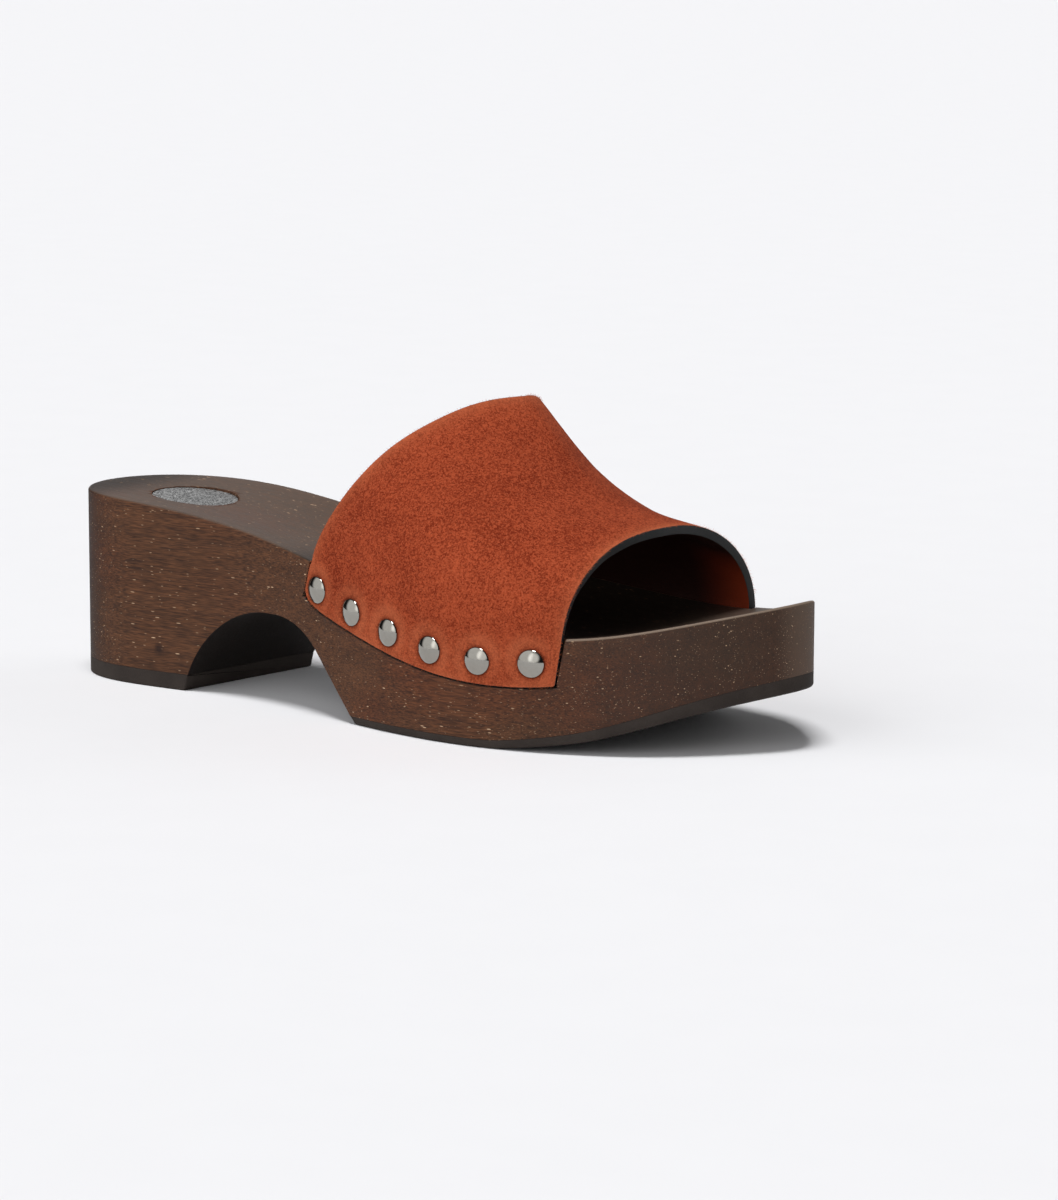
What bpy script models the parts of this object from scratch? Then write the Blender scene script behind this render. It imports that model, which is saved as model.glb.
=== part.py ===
"""Right sandal clog: a carved wooden sole on rubber treads, with a wide leather band nailed into its sides.

Lengths are in metres. While the shoe is built, X runs from the back of the heel to the toe, Y runs to the
medial (inner) side and Z is up from the floor. At the end the whole shoe is centred over the origin.
"""

import math

import bmesh
import bpy
import numpy as np
from mathutils import Matrix, Vector

# Sole, seen from above
LENGTH = 0.250  # back of the heel to the tip of the toe
HEEL_WIDTH = 0.057
BALL_WIDTH = 0.0906
TOE_SWING = 0.0072  # how far the tip of the toe lies to the medial side of the heel
HEEL_TIP_RADIUS = 0.0288
TOE_TIP_RADIUS = 0.0118

# Sole, seen from the side
HEEL_HEIGHT = 0.0574  # floor to the rim at the back of the heel
BALL_HEIGHT = 0.0336  # floor to the rim at the ball
TOE_HEIGHT = 0.0428  # floor to the rim at the tip of the toe
TOE_SPRING = 0.0174  # floor to the underside of the tip of the toe
RIM_RADIUS = 0.0010
HEEL_LIFT = 0.0050  # rubber under the heel
TREAD = 0.0023  # rubber under the ball
TOE_TREAD = 0.0045  # rubber under the tip of the toe
TREAD_EDGE_RADIUS = 0.0014

# Footbed hollows, below the rim
HEEL_DISH = 0.0016
ARCH_DISH = 0.0030
TOE_DISH = 0.0012

# Tunnel between heel and forefoot
BREAST_X = 0.0545  # front of the heel at the floor, on the shoe's axis
TUNNEL_HEIGHT = 0.0275
TUNNEL_FLAT = 0.0033  # length of its level top
TUNNEL_REAR_RADIUS = 0.0345
TUNNEL_FRONT_RADIUS = 0.0270
RAMP_ANGLE = math.radians(46.0)  # slope of the tunnel's front, above the floor
TUNNEL_TURN = math.radians(7.0)  # the tunnel's medial mouth lies further forward

# Leather band
LEATHER = 0.0030  # thickness
LATERAL_REAR_X = 0.1045
LATERAL_FRONT_X = 0.1978
MEDIAL_REAR_X = 0.1165
MEDIAL_FRONT_X = 0.2105
LATERAL_TAB = 0.0163  # rim to the band's lower edge, where the tab is deepest
MEDIAL_TAB = 0.0145
LATERAL_REAR_LEAN = -0.0032  # the lower corners lie this far from the corners at the rim
LATERAL_FRONT_LEAN = -0.0020
MEDIAL_REAR_LEAN = -0.0080
MEDIAL_FRONT_LEAN = -0.0003
REAR_CORNER_RISE = 0.0022  # how much the rounded corner lifts the lower edge at the rear
REAR_CORNER_SHARE = 0.035  # share of the band's length in which that fades away
COLLAR_HEIGHT = 0.0945  # floor to the top of the band at the back
THROAT_HEIGHT = 0.0611  # floor to the top of the band at the toe opening
COLLAR_X = 0.1555
THROAT_X = 0.2079
COLLAR_Y = 0.0040
THROAT_Y = -0.0029

# Nails
NAIL_COUNT = 6  # on each side
NAIL_HEAD_RADIUS = 0.0041
NAIL_HEAD_HEIGHT = 0.0014
NAIL_SHANK_RADIUS = 0.0008
NAIL_LENGTH = 0.0090
NAIL_POINT = 0.2  # share of the length that tapers to the point
LATERAL_NAIL_REAR_RISE = 0.0056  # above the band's lower edge
LATERAL_NAIL_FRONT_RISE = 0.0069
MEDIAL_NAIL_RISE = 0.0053
NAIL_END_MARGIN = 0.0072  # from each end of the band to the first nail

# Disc inlaid in the heel seat
DISC_RADIUS = 0.0132
DISC_THICKNESS = 0.0008
DISC_RECESS = 0.0002  # below the footbed
DISC_X = 0.0338
DISC_Y = 0.0010

GAP = 0.0003  # between neighbouring solids
HOLE_GAP = 0.0006  # around a nail's shank
CUTTER_REACH = 0.012  # how far a cutter passes its wall

# Share of the sole's length, its centre line as a share of the toe swing, and its width as a mix of the heel's
# and the ball's. At the two tips the radii above take the place of the width.
OUTLINE = [
    # station, swing, of_heel, of_ball
    (0.00, 0.00, 0.00, 0.00),
    (0.15, 0.19, 1.00, 0.00),
    (0.30, -0.07, 0.78, 0.10),
    (0.45, -0.16, 0.36, 0.53),
    (0.58, -0.10, 0.10, 0.875),
    (0.70, 0.14, 0.00, 1.00),
    (0.82, 0.54, 0.00, 0.892),
    (0.92, 0.94, 0.00, 0.618),
    (1.00, 1.00, 0.00, 0.00),
]

# Rim height as a mix of the heel's, the ball's and the toe's, and the hollow of the footbed below it.
FOOTBED = [
    # station, lateral_heel, medial_heel, lateral_toe, medial_toe, heel_dish, arch_dish, toe_dish
    (0.00, 1.00, 1.00, 0.00, 0.00, 0.0, 0.0, 0.0),
    (0.15, 0.935, 0.950, 0.00, 0.00, 1.0, 0.0, 0.0),
    (0.30, 0.730, 0.800, 0.00, 0.00, 0.5, 0.6, 0.0),
    (0.45, 0.440, 0.450, 0.00, 0.00, 0.0, 1.0, 0.0),
    (0.58, 0.190, 0.180, 0.00, 0.00, 0.0, 0.9, 0.2),
    (0.70, 0.000, 0.000, 0.00, 0.00, 0.0, 0.6, 0.7),
    (0.82, 0.000, 0.000, 0.02, -0.19, 0.0, 0.2, 1.0),
    (0.92, 0.000, 0.000, 0.52, 0.16, 0.0, 0.0, 0.9),
    (1.00, 0.000, 0.000, 1.00, 1.00, 0.0, 0.0, 0.0),
]

# The forefoot's underside as a share of the toe spring, and how far its rubber has thickened towards the toe's.
# Before the first station the underside lies flat on the floor.
ROCKER = [
    # station, spring, thickening
    (0.64, 0.000, 0.00),
    (0.70, 0.000, 0.05),
    (0.76, 0.090, 0.14),
    (0.82, 0.240, 0.32),
    (0.88, 0.500, 0.54),
    (0.94, 0.778, 0.80),
    (1.00, 1.000, 1.00),
]

# Sections of the band, from its rear edge (0) to its toe opening (1). The crown runs from the collar to the
# throat. Fullness is the exponent of each side's arch: 2 is an ellipse, and more is squarer. A sweep of 0 runs
# the section straight up to the crown, as seen from the side, and 1 rounds it. The tabs are shares of the
# deepest tab.
BAND = [
    # section, crown_along, crown_drop, lat_fullness, med_fullness, lat_sweep, med_sweep, lat_tab, med_tab
    (0.00, 0.000, 0.000, 2.50, 2.06, 0.96, 0.02, 0.80, 0.95),
    (0.25, 0.221, 0.341, 2.45, 1.92, 0.98, 0.14, 0.93, 1.00),
    (0.50, 0.455, 0.646, 2.40, 1.77, 1.00, 0.27, 1.00, 0.94),
    (0.75, 0.727, 0.890, 2.39, 1.96, 1.00, 0.39, 0.95, 0.76),
    (1.00, 1.000, 1.000, 2.38, 2.15, 1.00, 0.52, 0.835, 0.74),
]

SOLE_STATIONS = 44
NAIL_PATH_STEPS = 100
FOOTBED_STRIPS = 10
RIM_STEPS = 2
BAND_SECTIONS = 18
BAND_STRIPS = 15  # on each side of the crown
TAB_STRIPS = 2
TUNNEL_ARC_STEPS = 9
NAIL_SPIN_STEPS = 14
NAIL_DOME_STEPS = 4
HOLE_SIDES = 8
DISC_SIDES = 40
TIP = LENGTH * 2e-4  # each loft stops this far short of the tips of the heel and the toe, at a narrow flat
NARROWEST = 3  # near the tips a rounding's radius is at most the half width over this


def column(table, index):
    """One column of a table, as an array."""
    return np.array([row[index] for row in table], float)


def spline(stations, values):
    """A natural cubic through the values, as a function of the station, level outside the first and last."""
    x, y = np.asarray(stations, float), np.asarray(values, float)
    h, n = np.diff(x), len(x)
    system, right = np.eye(n), np.zeros(n)
    for i in range(1, n - 1):
        system[i, i - 1 : i + 2] = h[i - 1], 2 * (h[i - 1] + h[i]), h[i]
        right[i] = 6 * ((y[i + 1] - y[i]) / h[i] - (y[i] - y[i - 1]) / h[i - 1])
    bend = np.linalg.solve(system, right)

    def at(s):
        s = min(max(s, x[0]), x[-1])
        i = int(np.clip(np.searchsorted(x, s) - 1, 0, n - 2))
        a, b = (x[i + 1] - s) / h[i], (s - x[i]) / h[i]
        cubic = (a**3 - a) * bend[i] + (b**3 - b) * bend[i + 1]
        return float(a * y[i] + b * y[i + 1] + cubic * h[i] ** 2 / 6)

    return at


def outline_functions():
    """Functions for the sole's centre line and half width, by the share of the length."""
    stations = column(OUTLINE, 0)
    half = (column(OUTLINE, 2) * HEEL_WIDTH + column(OUTLINE, 3) * BALL_WIDTH) / 2
    blunt = np.empty(len(stations))
    middle = stations[1:-1]
    blunt[1:-1] = half[1:-1] / (2 * np.sqrt(middle * (1 - middle)))
    blunt[0] = math.sqrt(HEEL_TIP_RADIUS * LENGTH / 2)
    blunt[-1] = math.sqrt(TOE_TIP_RADIUS * LENGTH / 2)
    bluntness = spline(stations, blunt)
    centre = spline(stations, column(OUTLINE, 1) * TOE_SWING)

    def half_width(s):
        s = min(max(s, 0.0), 1.0)
        return bluntness(s) * 2 * math.sqrt(s * (1 - s))

    return centre, half_width


CENTRE, HALF_WIDTH = outline_functions()


def rim_function(side):
    """The height of one rim of the footbed, by the share of the length."""
    of_heel = column(FOOTBED, 1 if side < 0 else 2)
    of_toe = column(FOOTBED, 3 if side < 0 else 4)
    rise = of_heel * (HEEL_HEIGHT - BALL_HEIGHT) + of_toe * (TOE_HEIGHT - BALL_HEIGHT)
    return spline(column(FOOTBED, 0), BALL_HEIGHT + rise)


RIM = {side: rim_function(side) for side in (-1, 1)}
DISH = spline(
    column(FOOTBED, 0),
    column(FOOTBED, 5) * HEEL_DISH + column(FOOTBED, 6) * ARCH_DISH + column(FOOTBED, 7) * TOE_DISH,
)
SPRING = spline(column(ROCKER, 0), column(ROCKER, 1) * TOE_SPRING)
THICKENING = spline(column(ROCKER, 0), column(ROCKER, 2) * (TOE_TREAD - TREAD))
TUNNEL_REAR_X = BREAST_X + math.sqrt(TUNNEL_REAR_RADIUS**2 - (TUNNEL_REAR_RADIUS - TUNNEL_HEIGHT) ** 2)
TUNNEL_FRONT_X = TUNNEL_REAR_X + TUNNEL_FLAT


def wall(x, side, inset=0.0):
    """A point on the sole's side wall in plan, moved inwards by inset; side is -1 lateral or 1 medial."""
    step = LENGTH * 1e-4
    s, ahead, behind = x / LENGTH, (x + step) / LENGTH, (x - step) / LENGTH
    y = CENTRE(s) + side * HALF_WIDTH(s)
    slope = CENTRE(ahead) - CENTRE(behind) + side * (HALF_WIDTH(ahead) - HALF_WIDTH(behind))
    inward = Vector((side * slope, -side * 2 * step)).normalized()
    return Vector((x, y)) + inward * inset


def outward(x, side):
    """The unit vector that points out of the side wall, level."""
    inward = wall(x, side, 1.0) - wall(x, side)
    return Vector((-inward.x, -inward.y, 0))


def footbed_height(x, across):
    """The footbed's height; across runs from -1 at the lateral rim to 1 at the medial rim."""
    s = x / LENGTH
    share = (across + 1) / 2
    rim = RIM[-1](s) * (1 - share) + RIM[1](s) * share
    return rim - DISH(s) * (1 - across**2)


def tread_bottom(x):
    """The underside of the forefoot's tread, level with the floor before the toe spring."""
    return max(0.0, SPRING(x / LENGTH))


def tread_top(x):
    """The upper face of the forefoot's tread."""
    return tread_bottom(x) + TREAD + THICKENING(x / LENGTH)


def paint(name, colour, roughness, metallic=0.0):
    """A plain material with its colour, roughness and metallic value."""
    material = bpy.data.materials.new(name)
    material.use_nodes = True
    shader = material.node_tree.nodes["Principled BSDF"]
    shader.inputs["Base Color"].default_value = (*colour, 1)
    shader.inputs["Roughness"].default_value = roughness
    shader.inputs["Metallic"].default_value = metallic
    return material


def mesh_object(name, work, material=None):
    """An object from a bmesh, with its faces pointing outwards and smooth shading between sharp edges."""
    bmesh.ops.recalc_face_normals(work, faces=work.faces)
    mesh = bpy.data.meshes.new(name)
    work.to_mesh(mesh)
    work.free()
    mesh.shade_smooth()
    mesh.set_sharp_from_angle(angle=math.radians(30))
    made = bpy.data.objects.new(name, mesh)
    bpy.context.scene.collection.objects.link(made)
    if material:
        mesh.materials.append(material)
    return made


def loft(name, rings, material=None):
    """A closed solid through rings of points that all have the same count."""
    work = bmesh.new()
    loops = [[work.verts.new(point) for point in ring] for ring in rings]
    count = len(loops[0])
    for near, far in zip(loops, loops[1:]):
        for i in range(count):
            j = (i + 1) % count
            work.faces.new((near[i], near[j], far[j], far[i]))
    work.faces.new(loops[0])
    work.faces.new(reversed(loops[-1]))
    return mesh_object(name, work, material)


def as_cutter(cutter):
    """Marks an object as a cutter, which isn't part of the shoe."""
    cutter.hide_render = True
    cutter.display_type = "WIRE"
    return cutter


def cut(target, *cutters):
    """Takes the cutters out of the target."""
    for cutter in cutters:
        boolean = target.modifiers.new("cut_" + cutter.name, "BOOLEAN")
        boolean.operation = "DIFFERENCE"
        boolean.solver = "EXACT"
        boolean.object = cutter


def sole_stations(first, last, count):
    """Places along the sole, closer together towards the tips of the heel and the toe."""
    angles = [math.acos(1 - 2 * x / LENGTH) for x in (first, last)]
    steps = np.linspace(angles[0], angles[1], count)
    return [LENGTH * (1 - math.cos(a)) / 2 for a in steps]


def wood_ring(x):
    """One section of the wooden sole: footbed, rounded rims, side walls and a flat underside."""
    radius = min(RIM_RADIUS, HALF_WIDTH(x / LENGTH) / NARROWEST)
    corner = {side: RIM[side](x / LENGTH) for side in (-1, 1)}
    under = HEEL_LIFT if x < TUNNEL_REAR_X else tread_top(x)
    rounding = []
    for step in range(RIM_STEPS + 1):
        turn = math.pi / 2 * step / RIM_STEPS
        rounding.append((radius * (1 - math.sin(turn)), radius * (1 - math.cos(turn))))
    ring = []
    for inset, drop in reversed(rounding):
        ring.append(Vector((x, wall(x, -1).y + inset, corner[-1] - drop)))
    edges = [ring[-1].y, wall(x, 1).y - radius]
    for strip in range(1, FOOTBED_STRIPS):
        share = strip / FOOTBED_STRIPS
        y = edges[0] * (1 - share) + edges[1] * share
        ring.append(Vector((x, y, footbed_height(x, 2 * share - 1))))
    for inset, drop in rounding:
        ring.append(Vector((x, wall(x, 1).y - inset, corner[1] - drop)))
    ring.append(Vector((x, wall(x, 1).y, under + GAP)))
    ring.append(Vector((x, wall(x, -1).y, under + GAP)))
    return ring


def tunnel_cutter():
    """The tunnel's profile, run right across the shoe: round at the rear and top, with a ramp in front."""
    top = math.pi / 2
    floor_turn = math.asin((TUNNEL_REAR_RADIUS - TUNNEL_HEIGHT) / TUNNEL_REAR_RADIUS)
    profile = []
    for middle_x, radius, first, last in (
        (TUNNEL_REAR_X, TUNNEL_REAR_RADIUS, math.pi - floor_turn, top),
        (TUNNEL_FRONT_X, TUNNEL_FRONT_RADIUS, top, top - RAMP_ANGLE),
    ):
        for turn in np.linspace(first, last, TUNNEL_ARC_STEPS):
            z = TUNNEL_HEIGHT - radius + radius * math.sin(turn)
            profile.append((middle_x + radius * math.cos(turn), z))
    foot_x, foot_z = profile[-1]
    run = 1 / math.tan(RAMP_ANGLE)
    profile.append((foot_x + foot_z * run, 0.0))
    profile.append((profile[-1][0] + CUTTER_REACH * run, -CUTTER_REACH))
    profile.insert(0, (profile[0][0], -CUTTER_REACH))
    reach = BALL_WIDTH
    rings = []
    for y in (-reach, reach):
        rings.append([Vector((x + y * math.tan(TUNNEL_TURN), y, z)) for x, z in profile])
    return as_cutter(loft("tunnel_cutter", rings))


BAND_SHAPES = [spline(column(BAND, 0), column(BAND, index)) for index in range(1, 9)]
CROWN_ALONG, CROWN_DROP, LATERAL_FULLNESS, MEDIAL_FULLNESS = BAND_SHAPES[:4]
LATERAL_SWEEP, MEDIAL_SWEEP, LATERAL_DEPTH, MEDIAL_DEPTH = BAND_SHAPES[4:]


def band_end(side, end, low=False):
    """Where one end of the band crosses the rim, or its lower corner; end is 0 at the rear, 1 at the front."""
    rim = {
        -1: (LATERAL_REAR_X, LATERAL_FRONT_X),
        1: (MEDIAL_REAR_X, MEDIAL_FRONT_X),
    }[side][end]
    lean = {
        -1: (LATERAL_REAR_LEAN, LATERAL_FRONT_LEAN),
        1: (MEDIAL_REAR_LEAN, MEDIAL_FRONT_LEAN),
    }[side][end]
    return rim + (lean if low else 0.0)


def tab_foot(side, section):
    """Plan place and height of the band's lower edge, which keeps a set distance below the rim."""
    x = band_end(side, 0, True) * (1 - section) + band_end(side, 1, True) * section
    tab = LATERAL_TAB * LATERAL_DEPTH(section) if side < 0 else MEDIAL_TAB * MEDIAL_DEPTH(section)
    corner = REAR_CORNER_RISE * math.exp(-section / REAR_CORNER_SHARE)
    return x, RIM[side](x / LENGTH) - tab + corner


def rebate_cutter(side):
    """The space that a band's tab and its clearance take in the sole's side."""
    rings = []
    for section in np.linspace(0, 1, BAND_SECTIONS + 1):
        end_gap = GAP * (2 * section - 1)
        low_x, low_z = tab_foot(side, section)
        low_x += end_gap
        high_x = band_end(side, 0) * (1 - section) + band_end(side, 1) * section + end_gap
        high_z = HEEL_HEIGHT + CUTTER_REACH
        lean = (high_x - low_x) / (RIM[side](high_x / LENGTH) - low_z)
        top_x = high_x + lean * (high_z - RIM[side](high_x / LENGTH))
        ring = []
        for x, z, inset in (
            (low_x, low_z - GAP, LEATHER + GAP),
            (top_x, high_z, LEATHER + GAP),
            (top_x, high_z, -CUTTER_REACH),
            (low_x, low_z - GAP, -CUTTER_REACH),
        ):
            place = wall(x, side, inset)
            ring.append(Vector((place.x, place.y, z)))
        rings.append(ring)
    return as_cutter(loft("rebate_cutter_%s" % ("lateral" if side < 0 else "medial"), rings))


def band_point(section, side, rise):
    """A point of the band's outer face; rise is 0 at the rim and 1 at the crown."""
    base_x = band_end(side, 0) * (1 - section) + band_end(side, 1) * section
    base = wall(base_x, side)
    base_z = RIM[side](base_x / LENGTH)
    crown_x = COLLAR_X + (THROAT_X - COLLAR_X) * CROWN_ALONG(section)
    crown_y = COLLAR_Y + (THROAT_Y - COLLAR_Y) * section
    crown_z = COLLAR_HEIGHT - (COLLAR_HEIGHT - THROAT_HEIGHT) * CROWN_DROP(section)
    turn = rise * math.pi / 2
    power = 2 / (LATERAL_FULLNESS(section) if side < 0 else MEDIAL_FULLNESS(section))
    sweep = LATERAL_SWEEP(section) if side < 0 else MEDIAL_SWEEP(section)
    inwards = 1 - math.cos(turn) ** power if rise < 1 else 1.0
    x = base_x + (crown_x - base_x) * (sweep * rise + (1 - sweep) * math.sin(turn))
    y = base.y + (crown_y - base.y) * inwards
    z = base_z + (crown_z - base_z) * math.sin(turn) ** power
    return Vector((x, y, z))


def tab_point(section, side, share):
    """A point of a tab's outer face, flush with the sole; share is 0 at the lower edge and 1 at the rim."""
    low_x, low_z = tab_foot(side, section)
    high_x = band_end(side, 0) * (1 - section) + band_end(side, 1) * section
    high_z = RIM[side](high_x / LENGTH)
    x = low_x * (1 - share) + high_x * share
    place = wall(x, side)
    return Vector((place.x, place.y, low_z * (1 - share) + high_z * share))


def band_row(section):
    """One section of the band's outer face, from the lateral lower edge over the crown to the medial one."""
    lateral = [tab_point(section, -1, i / TAB_STRIPS) for i in range(TAB_STRIPS)]
    lateral += [band_point(section, -1, i / BAND_STRIPS) for i in range(BAND_STRIPS)]
    medial = [tab_point(section, 1, i / TAB_STRIPS) for i in range(TAB_STRIPS)]
    medial += [band_point(section, 1, i / BAND_STRIPS) for i in range(BAND_STRIPS + 1)]
    return lateral + medial[::-1]


def make_band(material):
    """The leather band: its outer face as a sheet of quads, thickened inwards."""
    work = bmesh.new()
    rows = []
    for section in np.linspace(0, 1, BAND_SECTIONS + 1):
        rows.append([work.verts.new(point) for point in band_row(section)])
    for near, far in zip(rows, rows[1:]):
        for i in range(len(near) - 1):
            work.faces.new((near[i], near[i + 1], far[i + 1], far[i]))
    bmesh.ops.recalc_face_normals(work, faces=work.faces)
    middle = min(work.faces, key=lambda face: abs(face.calc_center_median().y - THROAT_Y))
    if middle.normal.z < 0:
        bmesh.ops.reverse_faces(work, faces=work.faces)
    mesh = bpy.data.meshes.new("upper")
    work.to_mesh(mesh)
    work.free()
    mesh.materials.append(material)
    band = bpy.data.objects.new("upper", mesh)
    bpy.context.scene.collection.objects.link(band)
    wall_modifier = band.modifiers.new("leather", "SOLIDIFY")
    wall_modifier.thickness = LEATHER
    wall_modifier.offset = -1
    wall_modifier.use_even_offset = True
    return band


def nail_rise(side, section):
    """A nail's height above the band's lower edge."""
    if side > 0:
        return MEDIAL_NAIL_RISE
    return LATERAL_NAIL_REAR_RISE + (LATERAL_NAIL_FRONT_RISE - LATERAL_NAIL_REAR_RISE) * section


def nail_places(side):
    """Each nail's place on the band's outer face and the way that it points, evenly spaced along the wall."""

    def place(section):
        x, z = tab_foot(side, section)
        return Vector((*wall(x, side), z + nail_rise(side, section)))

    sections = np.linspace(0, 1, NAIL_PATH_STEPS + 1)
    points = [place(float(section)) for section in sections]
    along = [0.0]
    for near, far in zip(points, points[1:]):
        along.append(along[-1] + (far - near).length)
    for want in np.linspace(NAIL_END_MARGIN, along[-1] - NAIL_END_MARGIN, NAIL_COUNT):
        spot = place(float(np.interp(want, along, sections)))
        yield spot, outward(spot.x, side)


def facing(place, direction):
    """A frame at a place whose Z axis points along a direction."""
    return Matrix.Translation(place) @ direction.to_track_quat("Z", "Y").to_matrix().to_4x4()


def nail_mesh():
    """A dome-headed nail, spun about its own axis, with the head's underside at height 0."""
    work = bmesh.new()
    profile = []
    sphere = (NAIL_HEAD_RADIUS**2 + NAIL_HEAD_HEIGHT**2) / (2 * NAIL_HEAD_HEIGHT)
    for turn in np.linspace(0, math.asin(NAIL_HEAD_RADIUS / sphere), NAIL_DOME_STEPS + 1):
        profile.append((sphere * math.sin(turn), sphere * math.cos(turn) - sphere + NAIL_HEAD_HEIGHT))
    profile.append((NAIL_SHANK_RADIUS, 0.0))
    profile.append((NAIL_SHANK_RADIUS, -NAIL_LENGTH * (1 - NAIL_POINT)))
    profile.append((0.0, -NAIL_LENGTH))
    verts = [work.verts.new((radius, 0, z)) for radius, z in profile]
    edges = [work.edges.new(pair) for pair in zip(verts, verts[1:])]
    bmesh.ops.spin(
        work,
        geom=verts + edges,
        axis=(0, 0, 1),
        cent=(0, 0, 0),
        angle=math.tau,
        steps=NAIL_SPIN_STEPS,
        use_merge=True,
    )
    bmesh.ops.remove_doubles(work, verts=work.verts, dist=1e-6)
    bmesh.ops.recalc_face_normals(work, faces=work.faces)
    mesh = bpy.data.meshes.new("nail")
    work.to_mesh(mesh)
    work.free()
    mesh.shade_smooth()
    mesh.set_sharp_from_angle(angle=math.radians(40))
    return mesh


def make_nails(material):
    """Twelve nails through the band into the sole, and one cutter with their holes."""
    shared = nail_mesh()
    shared.materials.append(material)
    holes = bmesh.new()
    nails = []
    for side, word in ((-1, "lateral"), (1, "medial")):
        for number, (place, direction) in enumerate(nail_places(side), start=1):
            nail = bpy.data.objects.new("nail_%s_%d" % (word, number), shared)
            bpy.context.scene.collection.objects.link(nail)
            frame = facing(place + direction * GAP, direction)
            nail.location = frame.translation
            nail.rotation_euler = frame.to_euler()
            nails.append(nail)
            depth = NAIL_LENGTH + HOLE_GAP
            bmesh.ops.create_cone(
                holes,
                cap_ends=True,
                segments=HOLE_SIDES,
                radius1=NAIL_SHANK_RADIUS + HOLE_GAP,
                radius2=NAIL_SHANK_RADIUS + HOLE_GAP,
                depth=2 * depth,
                matrix=facing(place, direction),
            )
    return nails, as_cutter(mesh_object("nail_hole_cutter", holes))


def disc_frame():
    """The heel disc's frame: its upper face's centre, with Z along the footbed's normal."""
    step = DISC_RADIUS / 2

    def height(x, y):
        s = x / LENGTH
        return footbed_height(x, (y - CENTRE(s)) / HALF_WIDTH(s))

    along = Vector((2 * step, 0, height(DISC_X + step, DISC_Y) - height(DISC_X - step, DISC_Y)))
    across = Vector((0, 2 * step, height(DISC_X, DISC_Y + step) - height(DISC_X, DISC_Y - step)))
    normal = along.cross(across).normalized()
    return facing(Vector((DISC_X, DISC_Y, height(DISC_X, DISC_Y))) - normal * DISC_RECESS, normal)


def round_plate(work, radius, depth, place):
    """Adds a round plate with its middle at a place."""
    bmesh.ops.create_cone(
        work, cap_ends=True, segments=DISC_SIDES, radius1=radius, radius2=radius, depth=depth, matrix=place
    )


def make_disc(material):
    """The disc inlaid in the heel seat, and the cutter for its pocket."""
    frame = disc_frame()
    work = bmesh.new()
    down = Matrix.Translation((0, 0, -DISC_THICKNESS / 2))
    round_plate(work, DISC_RADIUS, DISC_THICKNESS, frame @ down)
    disc = mesh_object("heel_disc", work, material)
    pocket = bmesh.new()
    depth = DISC_THICKNESS + GAP + CUTTER_REACH
    lift = Matrix.Translation((0, 0, depth / 2 - DISC_THICKNESS - GAP))
    round_plate(pocket, DISC_RADIUS + GAP, depth, frame @ lift)
    return disc, as_cutter(mesh_object("disc_pocket_cutter", pocket))


def make_heel_lift(material, tunnel):
    """The rubber under the heel, cut off by the tunnel at the heel's breast."""
    rings = []
    for x in sole_stations(TIP, TUNNEL_REAR_X, SOLE_STATIONS // 2):
        outer = [wall(x, side) for side in (-1, 1)]
        ring = [Vector((x, outer[0].y, 0)), Vector((x, outer[0].y, HEEL_LIFT))]
        ring += [Vector((x, outer[1].y, HEEL_LIFT)), Vector((x, outer[1].y, 0))]
        rings.append(ring)
    lift = loft("heel_lift", rings, material)
    cut(lift, tunnel)
    return lift


def make_tread(material, tunnel):
    """The rubber under the forefoot, with a rounded lower edge, cut off by the tunnel's ramp."""
    rings = []
    for x in sole_stations(TUNNEL_REAR_X, LENGTH - TIP, SOLE_STATIONS):
        low, high = tread_bottom(x), tread_top(x)
        radius = min(TREAD_EDGE_RADIUS, HALF_WIDTH(x / LENGTH) / NARROWEST)
        lateral, medial = wall(x, -1).y, wall(x, 1).y
        chamfer = radius * (1 - math.cos(math.pi / 4))
        ring = [(lateral, high), (medial, high), (medial, low + radius), (medial - chamfer, low + chamfer)]
        ring += [(medial - radius, low), (lateral + radius, low), (lateral + chamfer, low + chamfer)]
        ring.append((lateral, low + radius))
        rings.append([Vector((x, y, z)) for y, z in ring])
    tread = loft("forefoot_tread", rings, material)
    cut(tread, tunnel)
    return tread


def centre_over_origin(pieces):
    """Hangs every piece and cutter on one empty, and moves that so the shoe stands centred over the origin."""
    bpy.context.view_layer.update()
    graph = bpy.context.evaluated_depsgraph_get()
    corners = []
    for piece in pieces:
        done = piece.evaluated_get(graph)
        corners += [done.matrix_world @ Vector(corner) for corner in done.bound_box]
    low = Vector([min(c[i] for c in corners) for i in range(3)])
    high = Vector([max(c[i] for c in corners) for i in range(3)])
    shoe = bpy.data.objects.new("shoe", None)
    bpy.context.scene.collection.objects.link(shoe)
    for thing in list(bpy.context.scene.objects):
        if thing is not shoe:
            thing.parent = shoe
    middle = (low + high) / 2
    shoe.location = (-middle.x, -middle.y, -low.z)


def main():
    """Builds the shoe."""
    for thing in list(bpy.data.objects):
        bpy.data.objects.remove(thing)
    wood = paint("wood", (0.075, 0.035, 0.02), 0.45)
    rubber = paint("rubber", (0.035, 0.033, 0.032), 0.65)
    suede = paint("suede", (0.43, 0.085, 0.03), 0.95)
    metal = paint("nail_metal", (0.55, 0.54, 0.50), 0.22, 1.0)
    silver = paint("disc_metal", (0.42, 0.43, 0.45), 0.5, 1.0)

    tunnel = tunnel_cutter()
    sole = loft("wood_sole", [wood_ring(x) for x in sole_stations(TIP, LENGTH - TIP, SOLE_STATIONS)], wood)
    band = make_band(suede)
    nails, nail_holes = make_nails(metal)
    disc, pocket = make_disc(silver)
    cut(sole, tunnel, rebate_cutter(-1), rebate_cutter(1), pocket, nail_holes)
    cut(band, nail_holes)
    lift = make_heel_lift(rubber, tunnel)
    tread = make_tread(rubber, tunnel)
    centre_over_origin([sole, band, disc, lift, tread, *nails])


main()
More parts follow.
